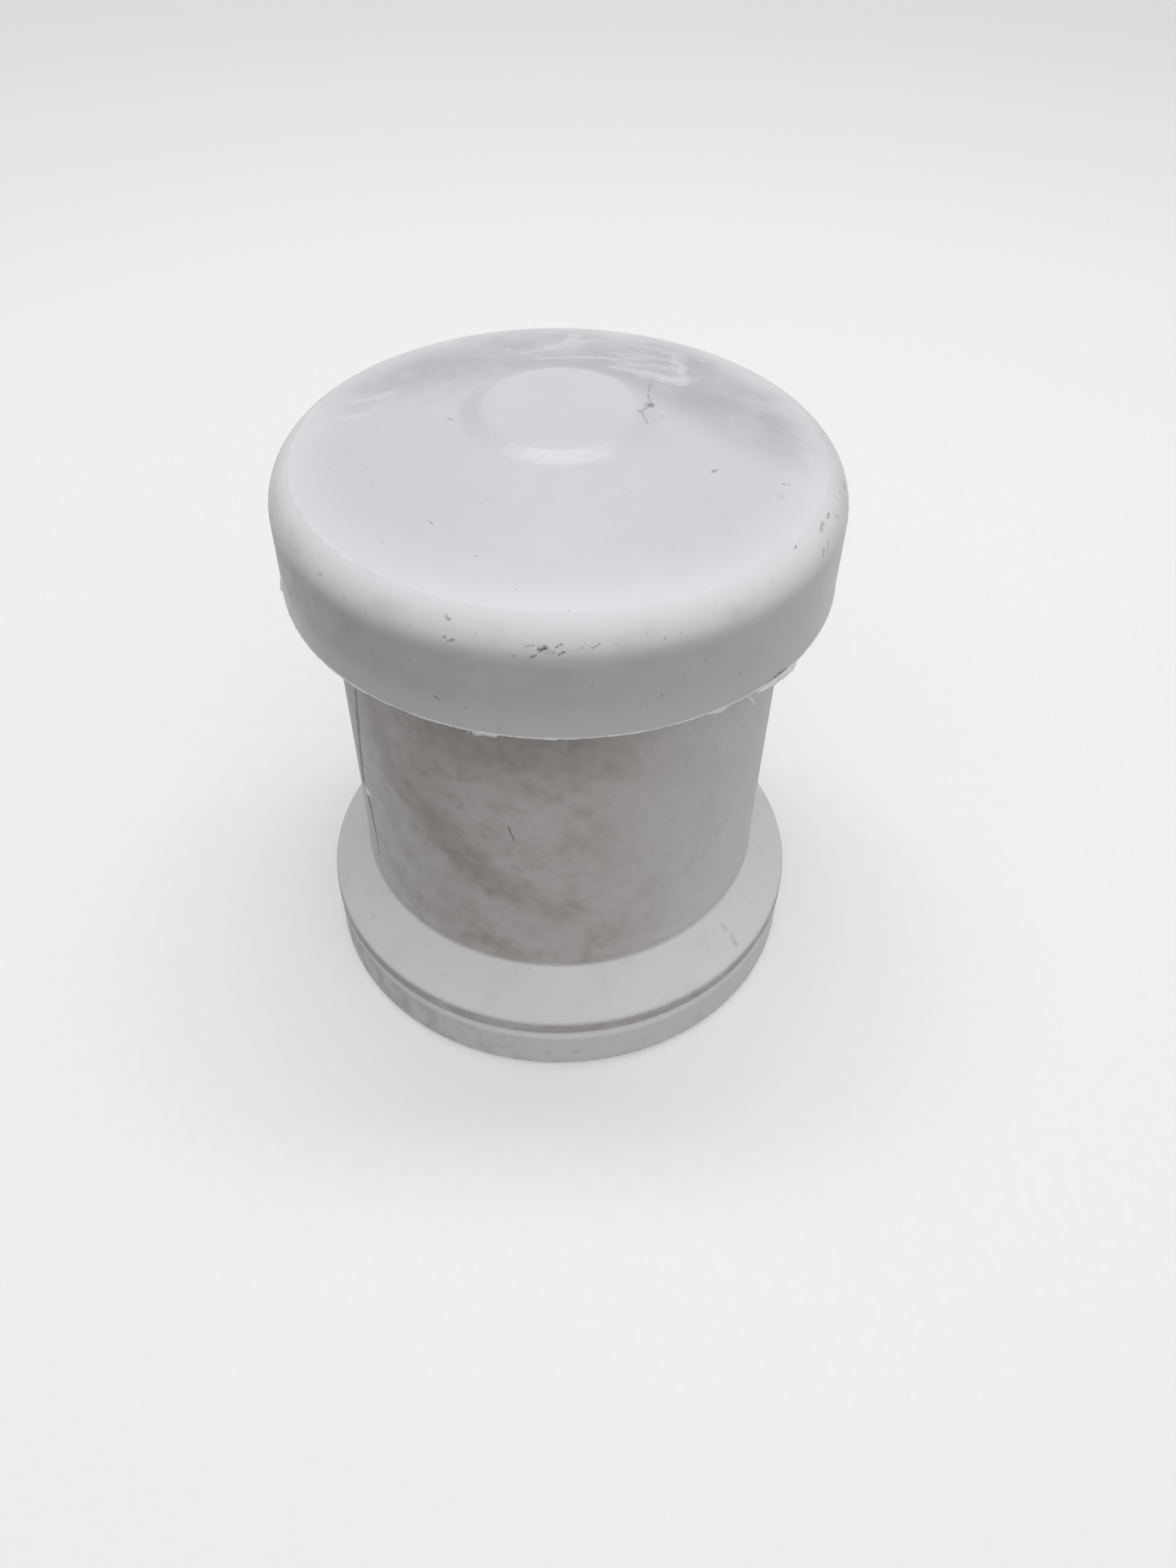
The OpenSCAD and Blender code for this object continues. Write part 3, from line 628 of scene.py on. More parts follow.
# The marks include the painted shade of the gap above the torn strips.
marks = ((strokes(hood, grit_place, HOOD_MARKS, edge=0.75) | scuffs * 0.6) * broken
         | strokes(hood, crack_place, CRACK, edge=0.9) * (0.45 + 0.4 * broken) | grains)
streaks = cloud(hood, 0.9, 0.38, 0.6, seed=11.0, detail=2.0, place=drawn_out(hood, 8.0, 0.25))
filled = soft_strokes(hood, torn_place, SMEAR_FILL, edge=0.7) * (0.62 + 0.3 * streaks)
torn = strokes(hood, torn_place, SMEAR_EDGE, edge=0.7) * (0.28 + 0.42 * streaks) | filled
# A painted highlight along the crease at the top of the rim.
off_crease = hood.node("ShaderNodeMath", {"operation": "ABSOLUTE"}, {0: radius - CREASE_R})
crease_highlight = (1 - hood.rise(off_crease, *CREASE_HALF)) * (1 - 0.75 * hood.rise(x, -20.0, -6.0))
crease_highlight = crease_highlight * top * cloud(hood, 1.8, 0.46, 0.62, seed=12.0)
print("hood: wear from", len(hood.tree.nodes), "nodes")

# %% Mix the hood's colour
colour = hood.blend(haze, HOOD_WHITE, HOOD_AGED)
colour = hood.blend(dust_and_shade * (0.78 + 0.2 * hood.rise(x, 6.0, 18.0)), colour, DUST_AND_SHADE)
colour = hood.blend(rim_sheen, colour, RIM_SHEEN)
colour = hood.blend(1 - hood.rise(z, *SIDE_Z), colour, HOOD_SIDE)
colour = hood.blend(skirt_soil_and_shade, colour, SKIRT_SOIL_AND_SHADE)
colour = hood.blend(soil, colour, RIM_SOIL)
colour = hood.blend(smudge, colour, DUST_AND_SHADE)
colour = hood.blend(torn * 0.85, colour, SCRAPED)
colour = hood.blend(crease_highlight * 0.7, colour, BARE_EDGE_AND_HIGHLIGHT)
colour = hood.blend(marks, colour, BLACK_GRIT_AND_GAP_SHADE)
print("hood: colour from", len(hood.tree.nodes), "nodes")

# %% Shape the hood's gloss
POLISHED = 0.285
facets = noise(hood, 0.7, seed=14.0, detail=2.0)
peel = noise(hood, 0.9, seed=15.0, detail=1.5)
waves = noise(hood, 9.0, seed=16.0, detail=1.0)
height_mm = peel * 0.008 + waves * 0.1 + band * facets * 0.06 + torn * 0.05
gloss = POLISHED + 0.1 * cloud(hood, 3.0, 0.35, 0.7, seed=17.0) + 0.2 * dust_and_shade + 0.15 * soil
hood.set(base_color=colour, normal=bump(hood, height_mm),
         roughness=gloss * (1 - band) + POLISHED * band + 0.25 * marks + 0.25 * torn)
print("hood:", len(hood.tree.nodes), "nodes")

# %% [markdown]
# ## Marks on the body
# The tube of the body is the dirtiest part: it sat in the hood's drip line for years. A broad
# darker band runs down from the upper left: painted shade of the hood's soft shadow, with
# dirt in it. Small dark stains lie across the middle, and there is one clean scratch. Down
# the left limb runs a shallow groove like a mould seam, darkened by painted shade and a
# painted dark reflection where the tube turns away. The shoulder below is whiter and has
# only a few brown marks.

# %% Where the body is marked
# These strokes lay a broad band of painted shade from the upper left: the hood's soft shadow,
# with dirt in it.
SHADE = [
    ((-21.9, -17.9, 51.8), (-21.2, -18.8, 48.2), 5.6, 0.8),
    ((-21.2, -18.8, 48.2), (-19.6, -20.4, 43.2), 7.2, 0.9),
    ((-19.6, -20.4, 43.2), (-15.5, -23.5, 39.0), 10.94, 1),
    ((-15.5, -23.5, 39.0), (-11.1, -25.9, 34.3), 10.94, 1),
    ((-11.1, -25.9, 34.3), (-6.0, -27.5, 29.9), 9.18, 0.8),
    ((-6.0, -27.5, 29.9), (1.4, -28.1, 26.2), 9.18, 0.5),
    ((-11.2, -25.7, 17.9), (-4.8, -27.6, 17.7), 6.35, 0.7),
    ((-17.7, -21.7, 20.3), (-10.0, -26.2, 20.3), 9.18, 0.4),
    ((-4.8, -27.6, 17.7), (5.5, -27.5, 16.2), 5.54, 0.4),
]
TUBE_STAINS = [
    ((-11.0, -26.1, 49.9), (-10.7, -26.2, 47.9), 2.16, 0.45),
    ((-13.7, -24.7, 43.0), (-10.8, -26.1, 43.0), 2.7, 0.4),
    ((-11.1, -26.0, 43.6), (-11.1, -26.0, 42.7), 1.35, 1),
    ((-6.0, -27.7, 52.6), (-5.4, -27.8, 51.8), 1.62, 0.6),
    ((-6.5, -27.5, 50.0), (-5.8, -27.7, 49.4), 2.03, 0.6),
    ((-2.6, -28.2, 49.0), (-1.3, -28.2, 48.1), 2.03, 0.5),
    ((0.6, -28.3, 47.9), (1.2, -28.2, 46.9), 1.62, 0.9),
    ((2.1, -28.2, 50.2), (2.6, -28.2, 49.2), 2.7, 0.5),
    ((2.3, -28.2, 45.8), (4.1, -27.9, 44.6), 2.43, 0.55),
    ((3.65, -28.0, 43.4), (3.84, -27.97, 43.11), 0.81, 0.7),
    ((-16.1, -23.2, 38.6), (-14.4, -24.2, 38.8), 2.97, 0.5),
    ((-13.8, -24.6, 33.9), (-12.3, -25.3, 33.9), 3.78, 0.6),
    ((-10.9, -25.9, 33.5), (-10.2, -26.2, 32.4), 2.56, 0.6),
    ((-9.8, -26.4, 32.0), (-9.1, -26.6, 31.1), 2.56, 0.45),
    ((-4.9, -27.7, 34.6), (-4.0, -27.9, 34.2), 2.03, 0.5),
    ((0.2, -28.1, 27.0), (1.0, -28.1, 27.7), 2.03, 0.45),
    ((2.2, -28.0, 28.2), (3.2, -27.9, 27.2), 2.56, 0.6),
    ((-0.6, -28.0, 22.8), (1.0, -28.0, 22.2), 2.03, 0.3),
    ((-8.9, -26.8, 39.2), (-8.3, -27.0, 39.2), 1.35, 0.6),
    ((-5.8, -27.6, 38.1), (-5.3, -27.7, 37.4), 1.35, 0.5),
    ((5.9, -27.5, 25.6), (6.6, -27.3, 23.0), 1.49, 0.4),
    ((9.0, -26.6, 22.6), (9.4, -26.4, 24.5), 1.49, 0.35),
    ((20.8, -18.9, 32.1), (22.3, -17.2, 33.5), 1.89, 0.45),
    ((18.9, -21.0, 41.5), (19.9, -19.9, 37.7), 1.35, 0.4),
    ((21.2, -18.5, 38.4), (22.1, -17.4, 34.8), 1.35, 0.4),
    ((17.3, -22.2, 30.1), (17.7, -21.9, 32.5), 1.49, 0.35),
    ((19.0, -20.7, 29.4), (19.5, -20.2, 30.7), 1.49, 0.35),
    ((15.6, -23.5, 38.5), (17.6, -22.1, 39.2), 2.16, 0.25),
    ((-7.9, -27.2, 53.4), (-7.0, -27.4, 52.9), 2.7, 0.3),
    ((-21.8, -17.9, 39.3), (-21.3, -18.4, 38.3), 1.62, 0.8),
    ((-6.35, -27.48, 39.66), (-5.07, -27.73, 38.3), 2.03, 0.6),
]
# A shallow groove down the left limb, darkened by painted shade and a painted dark reflection.
SEAM_AND_LIMB_SHADE = [
    ((-23.4, -15.9, 61.0), (-24.0, -15.0, 53.0), 0.8, 0.7),
    ((-24.0, -15.0, 53.0), (-24.5, -14.1, 47.0), 1.1, 0.85),
    ((-24.5, -14.1, 47.0), (-25.2, -12.65, 39.6), 1.5, 0.95),
    ((-25.2, -12.65, 39.6), (-25.85, -11.1, 31.6), 1.9, 1.0),
    ((-25.2, -12.4, 31.2), (-24.95, -12.9, 28.5), 2.0, 1.0),
    ((-24.95, -12.9, 28.5), (-24.75, -13.2, 24.5), 1.3, 0.95),
    ((-24.75, -13.2, 24.5), (-24.7, -13.25, 20.3), 0.7, 0.85),
    ((-24.7, -13.25, 20.3), (-24.6, -13.3, 15.8), 0.4, 0.5),
]
PALE_SCAR = [
    ((-25.5, -11.8, 31.7), (-24.5, -13.8, 32.2), 1.9, 1),
]
TUBE_SCRATCH = [
    ((-5.28, -27.72, 41.61), (-4.99, -27.77, 40.57), 0.34, 0.9),
    ((-4.99, -27.77, 40.57), (-4.68, -27.81, 39.52), 0.28, 0.8),
]
SHOULDER = [
    ((23.2, -19.2, 13.3), (23.7, -19.4, 12.8), 1.3, 0.5),
    ((24.6, -20.0, 11.8), (25.3, -20.6, 10.9), 1.5, 0.6),
    ((21.9, -20.8, 13.2), (22.2, -20.8, 13.0), 0.8, 0.3),
    ((-15.6, -27.4, 11.9), (-14.5, -27.8, 12.0), 1.5, 0.25),
    ((29.4, -4.6, 13.6), (29.8, -5.6, 13.0), 2.0, 0.3),
    ((26.0, -13.9, 13.9), (26.7, -14.1, 13.3), 1.5, 0.25),
    ((-26.0, -17.4, 12.1), (-25.3, -18.2, 12.2), 1.6, 0.25),
]
RING = [
    ((3.0, -33.5, 3.0), (3.5, -33.4, 3.0), 1.4, 0.5),
    ((-0.8, -33.6, 2.9), (-0.5, -33.6, 2.9), 1.2, 0.5),
    ((20.1, -26.9, 2.3), (20.6, -26.6, 1.8), 0.9, 0.5),
    ((-7.1, -32.8, 2.8), (-6.0, -33.1, 3.2), 1.5, 0.3),
    ((12.3, -31.3, 3.1), (14.0, -30.5, 2.4), 1.5, 0.25),
]
BODY_MARKS = SHADE + TUBE_STAINS + SEAM_AND_LIMB_SHADE + PALE_SCAR + TUBE_SCRATCH + SHOULDER
print("marks on the body:", len(BODY_MARKS), "and on the ring:", len(RING))

# %% [markdown]
# ## The body's plastic
# The body is moulded from a plainer white than the hood, with a satin face. Grime sits on
# it in four sizes: broad clouds, blotches, a fine mottle and specks. Noise of one size would
# look like marble. A painted shadow of the hood darkens the top of the tube, and the middle
# of its front is darker with dust and painted shade. The corner between tube and shoulder
# and the band above the retaining ring are darker. Towards its two limbs the tube is
# painted lighter, as light falls there, and it is paler towards the right.

# %% Name the body's colours and zones
BODY_WHITE = (0.87, 0.855, 0.845, 1)
SHOULDER_WHITE = (0.94, 0.935, 0.955, 1)
GRIME_AND_SHADE = (0.42, 0.378, 0.355, 1)
DARK_STAIN = (0.22, 0.205, 0.19, 1)
BROWN_STAIN = (0.36, 0.3, 0.27, 1)
SEAM_DIRT_AND_SHADE = (0.15, 0.14, 0.13, 1)
TUBE_FOOT_Z = (15.0, 15.6)
CORNER_Z = (15.6, 17.0)
BEAD_Z = (9.2, 9.9)
print("body: the tube starts", TUBE_FOOT_Z[0], "mm up, the groove ends", BEAD_Z[1])

# %% Find where the body is grimy, and where shade and light are painted
body = Finish("white_plastic", specular_ior_level=0.35)
x, y, z = body.axes(body.mm)
on_tube = body.rise(z, *TUBE_FOOT_Z)
away = 1 - body.rise(x, -4.0, 22.0)
clouds = cloud(body, 10.0, 0.38, 0.72, seed=2.0, detail=2.0) * (0.1 + 0.16 * away)
blotches = cloud(body, 3.2, 0.44, 0.78, seed=3.0, detail=2.0) * (0.05 + 0.15 * away)
mottle = cloud(body, 1.8, 0.38, 0.8, seed=12.0, detail=2.0) * (0.04 + 0.13 * away)
# Painted shade of the hood's soft shadow, with dirt in it.
shade = soft_strokes(body, ragged(body, 4.0, 2.2, seed=5.0), SHADE, edge=0.7) * 0.35
# Painted shadow of the hood on the top of the tube.
painted_hood_shadow = body.rise(z, 45.0, 54.0) * body.between(x, -22.0, -14.0, 2.0, 16.0) * 0.34
# Darker across the middle of the tube's front: dust and painted shade.
dust_and_shade = body.between(x, -25.0, -12.0, 4.0, 24.0) * 0.31
# Painted light: less grime towards both limbs of the tube, so that they read lighter.
painted_limb_light = (0.35 + 0.65 * body.rise(x, -26.0, -20.0)) * (1 - 0.4 * body.rise(x, 18.0, 26.0))
grime_and_shade = on_tube * painted_limb_light * ((clouds | shade | painted_hood_shadow) + blotches + mottle + dust_and_shade)
# Darker in the corner between tube and shoulder, and on the band above the retaining ring.
corner = (1 - body.rise(z, *CORNER_Z)) * on_tube * 0.2
bead = (1 - body.rise(z, *BEAD_Z)) * (0.35 + 0.3 * cloud(body, 5.0, 0.3, 0.62, seed=11.0))
print("body: grime from", len(body.tree.nodes), "nodes")

# %% Find where the body is stained and scratched, and where shade runs down the left limb
soft_place = ragged(body, 1.3, 0.9)
fine_place = ragged(body, 0.5, 0.12, seed=1.0)
bent_place = ragged(body, 2.0, 0.3, seed=13.0)
stains = soft_strokes(body, soft_place, TUBE_STAINS, edge=0.8) * (0.5 + 0.5 * mottle) * 0.42
seam_and_limb_shade = strokes(body, bent_place, SEAM_AND_LIMB_SHADE, edge=0.8)
scratch = strokes(body, fine_place, TUBE_SCRATCH)
rubs = soft_strokes(body, bent_place, SHOULDER, edge=1.0) * 0.62
scar = strokes(body, fine_place, PALE_SCAR)
grains = specks(body, 2.4, 0.16, 0.3, seed=6.0) * 0.3
print("body: wear from", len(body.tree.nodes), "nodes")

# %% Mix the body's colour and gloss
# The tube is paler towards the right.
paler_right = 0.6 * body.rise(x, 8.0, 22.0)
colour = body.blend(on_tube * (1 - paler_right), SHOULDER_WHITE, BODY_WHITE)
colour = body.blend((1 - on_tube) * cloud(body, 6.0, 0.5, 0.8, seed=7.0) * 0.12, colour, GRIME_AND_SHADE)
colour = body.blend(grime_and_shade, colour, GRIME_AND_SHADE)
colour = body.blend(corner | bead, colour, GRIME_AND_SHADE)
colour = body.blend(stains | grains, colour, DARK_STAIN)
colour = body.blend(rubs, colour, BROWN_STAIN)
colour = body.blend(scratch * 0.65, colour, DARK_STAIN)
colour = body.blend(seam_and_limb_shade * 0.9, colour, SEAM_DIRT_AND_SHADE)
colour = body.blend(scar, colour, BARE_EDGE_AND_HIGHLIGHT)
peel = noise(body, 0.6, seed=8.0, detail=2.0) * 0.012
waves = noise(body, 7.0, seed=9.0, detail=1.0) * 0.12
height_mm = peel + waves - (scratch | seam_and_limb_shade) * 0.08 + scar * 0.12
body.set(base_color=colour, normal=bump(body, height_mm),
         roughness=0.46 + 0.2 * shade + 0.1 * cloud(body, 2.0, 0.4, 0.7, seed=10.0))
print("body:", len(body.tree.nodes), "nodes")

# %% [markdown]
# ## The retaining ring
# The snap ring is a brighter white. Hands and benches have left soft grey smudges round its
# side, but not on its upper edge, which stays lighter. Smudges have no outline worth
# copying, so they are noise, drawn out a little along the height.

# %% Finish the retaining ring
RING_WHITE = (0.95, 0.95, 0.965, 1)
RING_SMUDGE = (0.52, 0.52, 0.53, 1)
RING_FOOT_Z = (0.3, 1.6)
LIGHTER_TOP_EDGE_Z = (5.6, 6.6)

ring = Finish("ring_plastic", specular_ior_level=0.4)
x, y, z = ring.axes(ring.mm)
soft_place = ragged(ring, 1.6, 0.6)
upright = ring.vector("MULTIPLY", {0: ring.mm, 1: (1.0, 1.0, 0.6)})
smudges = (cloud(ring, 2.6, 0.36, 0.72, seed=1.0, detail=1.5, place=upright)
           * (0.46 - 0.38 * ring.rise(x, -24.0, 6.0)))
low_dirt = (1 - ring.rise(z, *RING_FOOT_Z)) * cloud(ring, 1.4, 0.4, 0.7, seed=2.0) * 0.32
spots = strokes(ring, soft_place, RING, edge=1.0) * 0.6
# The upper edge has no smudges, so it stays lighter.
side = 1 - ring.rise(z, *LIGHTER_TOP_EDGE_Z)
colour = ring.blend(smudges * side, RING_WHITE, RING_SMUDGE)
colour = ring.blend(low_dirt | spots, colour, RING_SMUDGE)
colour = ring.blend(specks(ring, 2.2, 0.14, 0.3, seed=3.0) * 0.35, colour, DARK_STAIN)
peel = noise(ring, 0.7, seed=4.0, detail=2.0) * 0.012
waves = noise(ring, 5.0, seed=5.0, detail=1.0) * 0.09
ring.set(base_color=colour, normal=bump(ring, peel + waves),
         roughness=0.42 + 0.18 * smudges + 0.1 * cloud(ring, 1.5, 0.4, 0.7, seed=6.0))
print("ring:", len(ring.tree.nodes), "nodes")

# %% [markdown]
# ## Inside parts
# The valve parts inside are moulded from a natural white plastic. They see no hands and
# little light, so they have only fine dust and faint flow clouds. The seals are black
# rubber with a pale bloom. The clip is spring steel, brushed round by the press. No
# photograph shows these parts, so each kind gets one plain finish from one function.

# %% Finish the inside parts
VALVE_WHITE = (0.76, 0.755, 0.73, 1)
VALVE_FLOW = (0.66, 0.65, 0.61, 1)
STEEL_DARK, STEEL_PALE = (0.5, 0.5, 0.5, 1), (0.66, 0.655, 0.64, 1)
STEEL_TARNISH = (0.3, 0.24, 0.18, 1)


def valve_plastic():
    """Natural white plastic: flow clouds, fine dust and a faint peel."""
    finish = Finish("valve_plastic", specular_ior_level=0.45)
    colour = finish.blend(cloud(finish, 6.0, 0.4, 0.7) * 0.6, VALVE_WHITE, VALVE_FLOW)
    colour = finish.blend(specks(finish, 1.8, 0.1, 0.3, seed=1.0) * 0.4, colour, DARK_STAIN)
    colour = finish.blend(cloud(finish, 1.5, 0.5, 0.8, seed=2.0) * 0.25, colour, GRIME_AND_SHADE)
    height_mm = noise(finish, 0.7, seed=3.0) * 0.01 + noise(finish, 4.0, seed=4.0) * 0.03
    finish.set(base_color=colour, normal=bump(finish, height_mm),
               roughness=0.36 + 0.16 * cloud(finish, 2.5, 0.35, 0.7, seed=5.0))
    return finish.material


def rubber(name, black, bloom, grain_mm):
    """Moulded rubber: a black base, a pale bloom in patches and a fine grain."""
    finish = Finish(name, specular_ior_level=0.35)
    patches = cloud(finish, 3.0, 0.45, 0.75, detail=5.0)
    dust = specks(finish, 0.9, 0.06, 0.4, seed=1.0)
    colour = finish.blend(patches * 0.5, black, bloom)
    colour = finish.blend(dust * 0.4, colour, VALVE_FLOW)
    grain = noise(finish, grain_mm, seed=2.0) * 0.02
    finish.set(base_color=colour, normal=bump(finish, grain), roughness=0.55 + 0.2 * patches)
    return finish.material


def spring_steel():
    """Brushed steel: noise drawn out along the rings round the axis, and a little tarnish."""
    finish = Finish("clip_steel", metallic=1.0)
    x, y, z = finish.axes(finish.mm)
    rings = finish.node("ShaderNodeCombineXYZ", inputs={0: finish.length(x, y), 1: z * 0.2})
    brushed = finish.node("ShaderNodeTexNoise",
                          inputs={"Vector": rings, "Scale": 14.0, "Detail": 4.0})
    tarnish = cloud(finish, 0.8, 0.5, 0.8, seed=1.0)
    colour = finish.blend(brushed, STEEL_DARK, STEEL_PALE)
    colour = finish.blend(tarnish * 0.4, colour, STEEL_TARNISH)
    finish.set(base_color=colour, roughness=0.29 + 0.16 * brushed + 0.2 * tarnish,
               normal=bump(finish, brushed * 0.004))
    return finish.material


inner_white = valve_plastic()
seal_black = rubber("seal_rubber", (0.028, 0.028, 0.029, 1), (0.085, 0.085, 0.083, 1), 0.25)
face_black = rubber("valve_rubber", (0.05, 0.05, 0.052, 1), (0.12, 0.12, 0.118, 1), 0.35)
clip_steel = spring_steel()
print("inside finishes:", inner_white.name, seal_black.name, face_black.name, clip_steel.name)

# %% Give each CAD part its finish
FINISH_OF = {
    "hood": hood.material,
    "body": body.material,
    "retaining_ring": ring.material,
    "throat_cup": inner_white,
    "intake_ring": inner_white,
    "floating_ring": inner_white,
    "cover": inner_white,
    "relief_disc": inner_white,
    "pipe_seal": seal_black,
    "cup_gasket": seal_black,
    "cover_seal": seal_black,
    "floating_ring_face": face_black,
    "relief_face": face_black,
    "stem_clip": clip_steel,
}
for name, material in FINISH_OF.items():
    mesh = nodes[name].data
    if mesh.materials:
        for place in range(len(mesh.materials)):
            mesh.materials[place] = material
    else:
        mesh.materials.append(material)
    print(f"{name}: {len(mesh.polygons)} faces, {material.name}")

# %% [markdown]
# ## Flash on the skirt
# Plastic crept out where the halves of the mould meet, and set as a thin, uneven lip round
# the skirt's lower edge. In a few places it was torn: there it hangs in strips and hairs.
# A noisy edge in the finish wouldn't change the outline, so these are real pieces. Each is a
# tube: rings of points round a path, wide in one direction and thin in the other.

# %% Draw a tube round a path
RING_POINTS = 8


def tube(name, centres, sides, lifts, loop=False):
    """A closed skin in mm. Each ring is centre + side * cos(t) + lift * sin(t) with t over a
    full turn. The path either closes on itself or ends in two caps."""
    turn = np.linspace(0, 2 * np.pi, RING_POINTS, endpoint=False)[None, :, None]
    rings = centres[:, None] + sides[:, None] * np.cos(turn) + lifts[:, None] * np.sin(turn)
    index = np.arange(len(centres) * RING_POINTS).reshape(len(centres), RING_POINTS)
    first, second = (index, np.roll(index, -1, 0)) if loop else (index[:-1], index[1:])
    quads = np.stack([first, second, np.roll(second, -1, 1), np.roll(first, -1, 1)], -1)
    caps = [] if loop else [index[0].tolist(), index[-1, ::-1].tolist()]
    return smooth_mesh(name, rings.reshape(-1, 3) * MM, quads.reshape(-1, 4).tolist() + caps)


# %% Give the flash its own finish
FLASH_WHITE, FLASH_STRESSED = (0.86, 0.86, 0.87, 1), (0.96, 0.96, 0.97, 1)

flash = Finish("flash_plastic", specular_ior_level=0.5)
stress = cloud(flash, 0.8, 0.35, 0.65)
colour = flash.blend(stress, FLASH_WHITE, FLASH_STRESSED)
colour = flash.blend(cloud(flash, 1.2, 0.55, 0.75, seed=1.0) * 0.35, colour, GRIME_AND_SHADE)
flash.set(base_color=colour, normal=bump(flash, noise(flash, 0.25, seed=2.0) * 0.03),
          roughness=0.35 + 0.2 * stress)


def add_flash(mesh):
    """Puts a finished piece of flash into the scene. The hood and the body that it hangs on
    never move, so it rides on the housing."""
    mesh.materials.append(flash.material)
    piece = bpy.data.objects.new(mesh.name, mesh)
    scene.collection.objects.link(piece)
    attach(piece, "housing")
    print(f"{mesh.name}: {len(mesh.polygons)} faces")


# %% Say where flash lies, and how ragged it is
def wobble(angle, slowest, fastest, seed):
    """A wavy line that closes on itself: the mean of 14 sines with whole numbers of waves a
    turn, from the slowest to the fastest, and random phases, times 2."""
    dice = np.random.default_rng(seed)
    waves = np.round(np.geomspace(slowest, fastest, 14))
    phases = dice.uniform(0, 2 * np.pi, 14)
    return 2 * np.sin(np.outer(angle, waves) + phases).mean(1)


def window(angle_deg, start, end, ramp=0.35):
    """1 between two angles and 0 outside them, with straight ramps."""
    inside = np.minimum(angle_deg - start, end - angle_deg) / ramp + 0.5
    return np.clip(inside, 0, 1)


def swelling(share):
    """How full a torn piece is along its length: half an ellipse, and 0.02 more, so that its
    two ends aren't points."""
    return np.sqrt(np.clip(4 * share * (1 - share), 0, 1)) + 0.02


def on_ring(angle, radius, height):
    """Places in mm from arrays of angles, radii and heights."""
    return np.stack([radius * np.cos(angle), radius * np.sin(angle), height + 0 * angle], -1)


# %% Run the lip round the skirt's lower edge
# Each torn place is: from and to in degrees, how much deeper and how much further out, in mm.
EDGE_R, EDGE_Z = 33.5, 61.6
LIP_STEPS = 1800
LIP_OUT, LIP_DROP = 0.035, 0.1
MOST_OUT, LEAST_DROP, MOST_DROP = 0.14, 0.03, 0.7
ROOT = 0.03
TORN_LIP = [
    (255.9, 260.5, 0.3, 0.06),
    (256.0, 257.4, 0.16, 0.06),
    (268.8, 271.2, 0.1, 0.04),
    (300.2, 304.2, 0.2, 0.08),
    (228.5, 233.5, 0.06, 0.05),
    (24.0, 27.5, 0.22, 0.07),
    (88.0, 90.5, 0.26, 0.05),
    (141.0, 146.0, 0.12, 0.06),
    (187.0, 188.6, 0.3, 0.05),
]

angle = np.linspace(0, 2 * np.pi, LIP_STEPS, endpoint=False)
out = LIP_OUT + 0.05 * wobble(angle, 9, 400, seed=1)
drop = LIP_DROP + 0.11 * wobble(angle, 7, 500, seed=2)
for start, end, more_drop, more_out in TORN_LIP:
    torn_here = window(np.degrees(angle), start, end)
    drop = drop + more_drop * torn_here * (1 + 0.5 * wobble(angle, 90, 700, seed=3))
    out = out + more_out * torn_here
out = np.clip(out, 0.0, MOST_OUT)
drop = np.clip(drop, LEAST_DROP, MOST_DROP)
middle = on_ring(angle, EDGE_R - ROOT + out / 2, EDGE_Z + ROOT - drop / 2)
outward = on_ring(angle, 0.05 + out / 2, 0.0)
upward = on_ring(angle, 0.0 * angle, 2 * ROOT + drop / 2)
add_flash(tube("skirt_flash", middle, outward, upward, loop=True))

# %% Hang torn strips along the edge
# Each strip is: from and to in degrees, half its width, its height and how far it stands off
# the edge, in mm.
STRIP_STEPS, STRIP_HALF_THICK, STRIP_GAP = 40, 0.045, 0.04
STRIPS = [
    (311.9, 318.4, 0.24, -0.24, 0.12),
    (315.6, 323.4, 0.23, -0.21, 0.13),
    (311.2, 313.9, 0.09, -0.24, 0.08),
    (300.8, 303.6, 0.14, -0.16, 0.08),
    (28.0, 31.5, 0.16, -0.12, 0.08),
    (190.0, 196.0, 0.2, -0.06, 0.08),
]
for number, (start, end, half_width, lift, off) in enumerate(STRIPS):
    share = np.linspace(0, 1, STRIP_STEPS)
    angle = np.radians(start + (end - start) * share)
    full = swelling(share)
    torn_half = half_width * full * (1 + 0.5 * wobble(angle, 60, 500, seed=20 + number))
    height = EDGE_Z + lift + 0.05 * wobble(angle, 40, 200, seed=30 + number)
    middle = on_ring(angle, EDGE_R + STRIP_GAP + off * full, height)
    outward = on_ring(angle, STRIP_HALF_THICK * full, 0.0)
    add_flash(tube(f"torn_strip_{number + 1}", middle, outward,
                   on_ring(angle, -0.9 * torn_half, torn_half)))

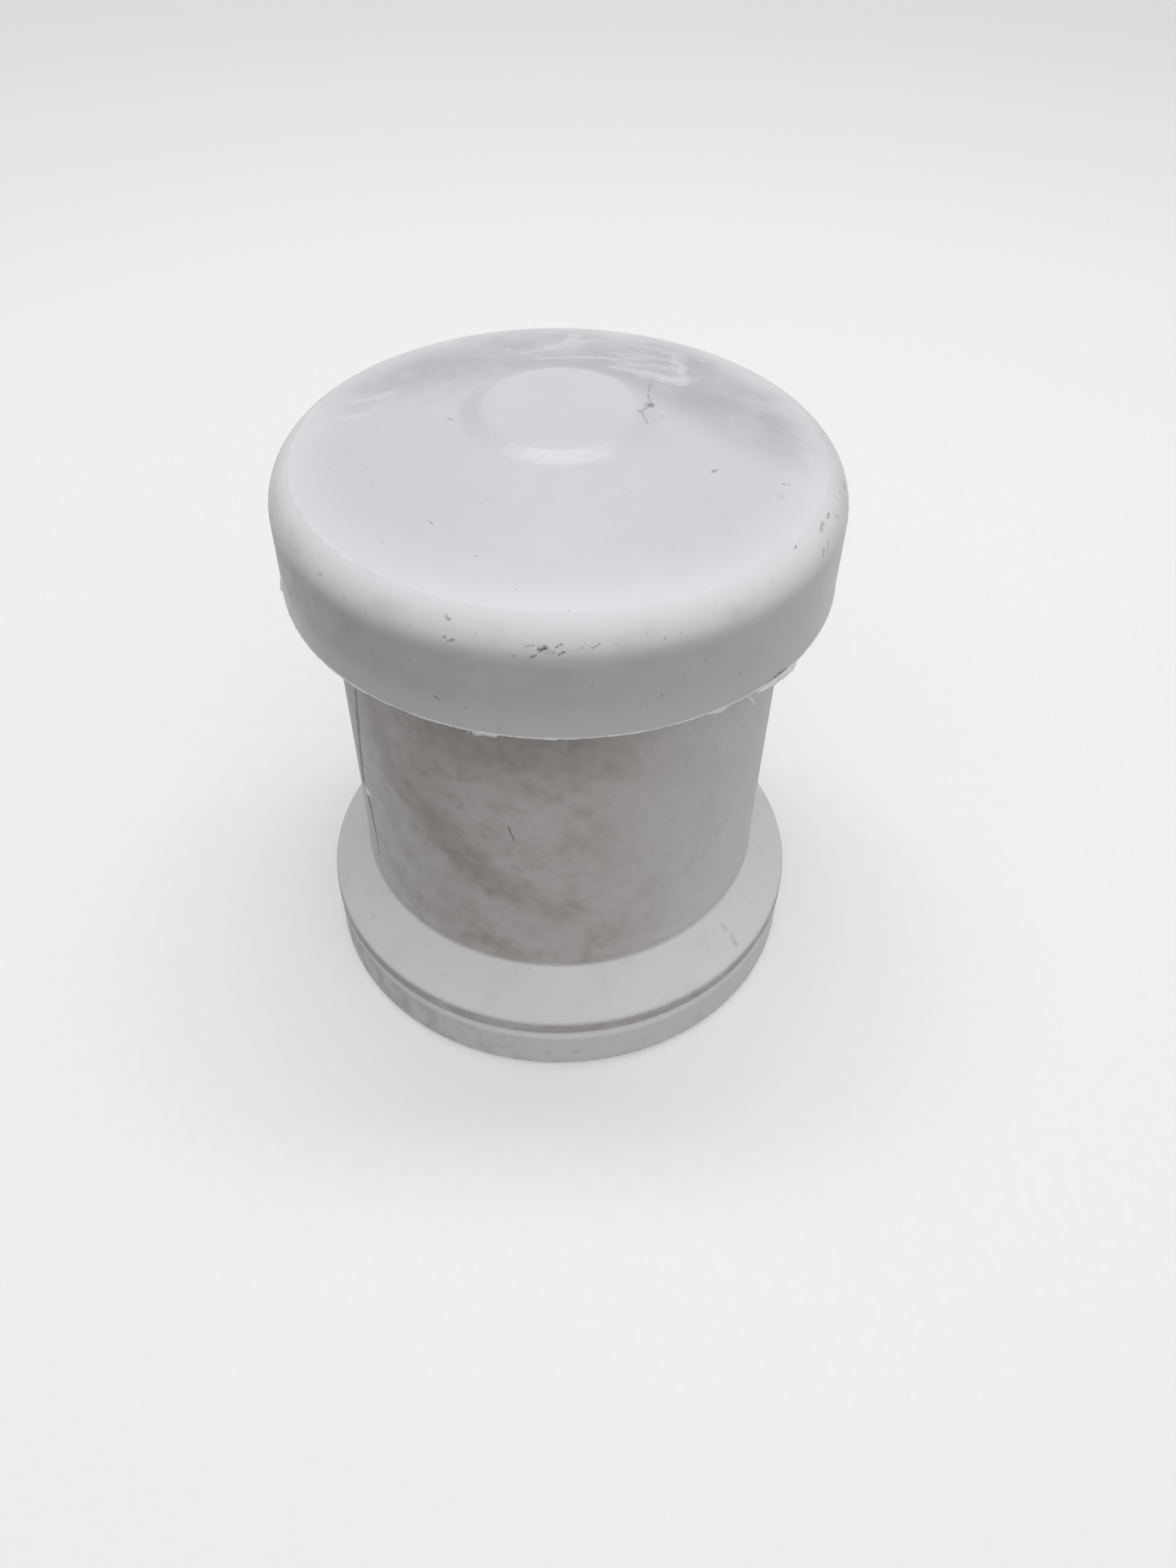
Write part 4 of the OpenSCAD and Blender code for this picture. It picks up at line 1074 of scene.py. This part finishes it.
# %% Hang torn hairs from the edge
# Each hair is: its place in degrees, its length and half its width at the root in mm, how far
# it leans along the edge and how much it curls, in mm.
HAIR_STEPS, HAIR_HALF_THICK, HAIR_FLARE = 16, 0.035, 0.25
HAIRS = [
    (308.9, 2.1, 0.4, 1.1, 0.3),
    (309.4, 1.0, 0.16, 0.7, -0.3),
    (308.6, 1.3, 0.12, 0.8, 0.2),
    (303.8, 0.9, 0.1, -0.1, 0.15),
    (255.2, 0.8, 0.07, -0.5, 0.5),
    (257.2, 0.5, 0.1, 0.3, -0.3),
    (27.0, 1.3, 0.12, 0.5, 0.3),
    (120.0, 0.9, 0.07, -0.4, 0.3),
]
for number, (degrees, length, half_width, lean, curl) in enumerate(HAIRS):
    share = np.linspace(0, 1, HAIR_STEPS)
    aside = lean * share + curl * np.sin(np.pi * share) * 0.4
    angle = np.radians(degrees) + aside / EDGE_R
    thin = (1 - share) ** 0.7 + 0.03
    radius = EDGE_R - 0.02 + HAIR_FLARE * share * length
    middle = on_ring(angle, radius, EDGE_Z + 0.05 - length * share)
    along_edge = on_ring(angle + np.pi / 2, half_width * thin, 0.0)
    inward = on_ring(angle, -HAIR_HALF_THICK * thin, 0.0)
    add_flash(tube(f"torn_hair_{number + 1}", middle, along_edge, inward))

# %% [markdown]
# ## The burr on the seam
# Half way down the seam at the left of the tube, the plastic was squeezed out and tore off.
# A short pale burr stands out there. Paint alone would be lost at the tube's edge, so this is
# a piece of its own too, drawn across the seam.

# %% Raise the burr on the seam
# A start or an end is an angle in degrees and a height in mm.
BURR_START, BURR_END = (204.8, 31.7), (209.4, 32.2)
BURR_STEPS, BURR_OUT, BURR_HALF = 24, 0.38, 0.42
TUBE_R = 28.1

share = np.linspace(0, 1, BURR_STEPS)
angle = np.radians(BURR_START[0] + (BURR_END[0] - BURR_START[0]) * share)
height = BURR_START[1] + (BURR_END[1] - BURR_START[1]) * share
full = swelling(share)
torn_out = BURR_OUT * full * (1 + 0.4 * wobble(angle, 50, 300, seed=40))
torn_half = BURR_HALF * full * (1 + 0.4 * wobble(angle, 40, 260, seed=41))
add_flash(tube("seam_burr", on_ring(angle, TUBE_R, height), on_ring(angle, torn_out, 0.0),
               on_ring(angle, 0.0 * angle, torn_half)))
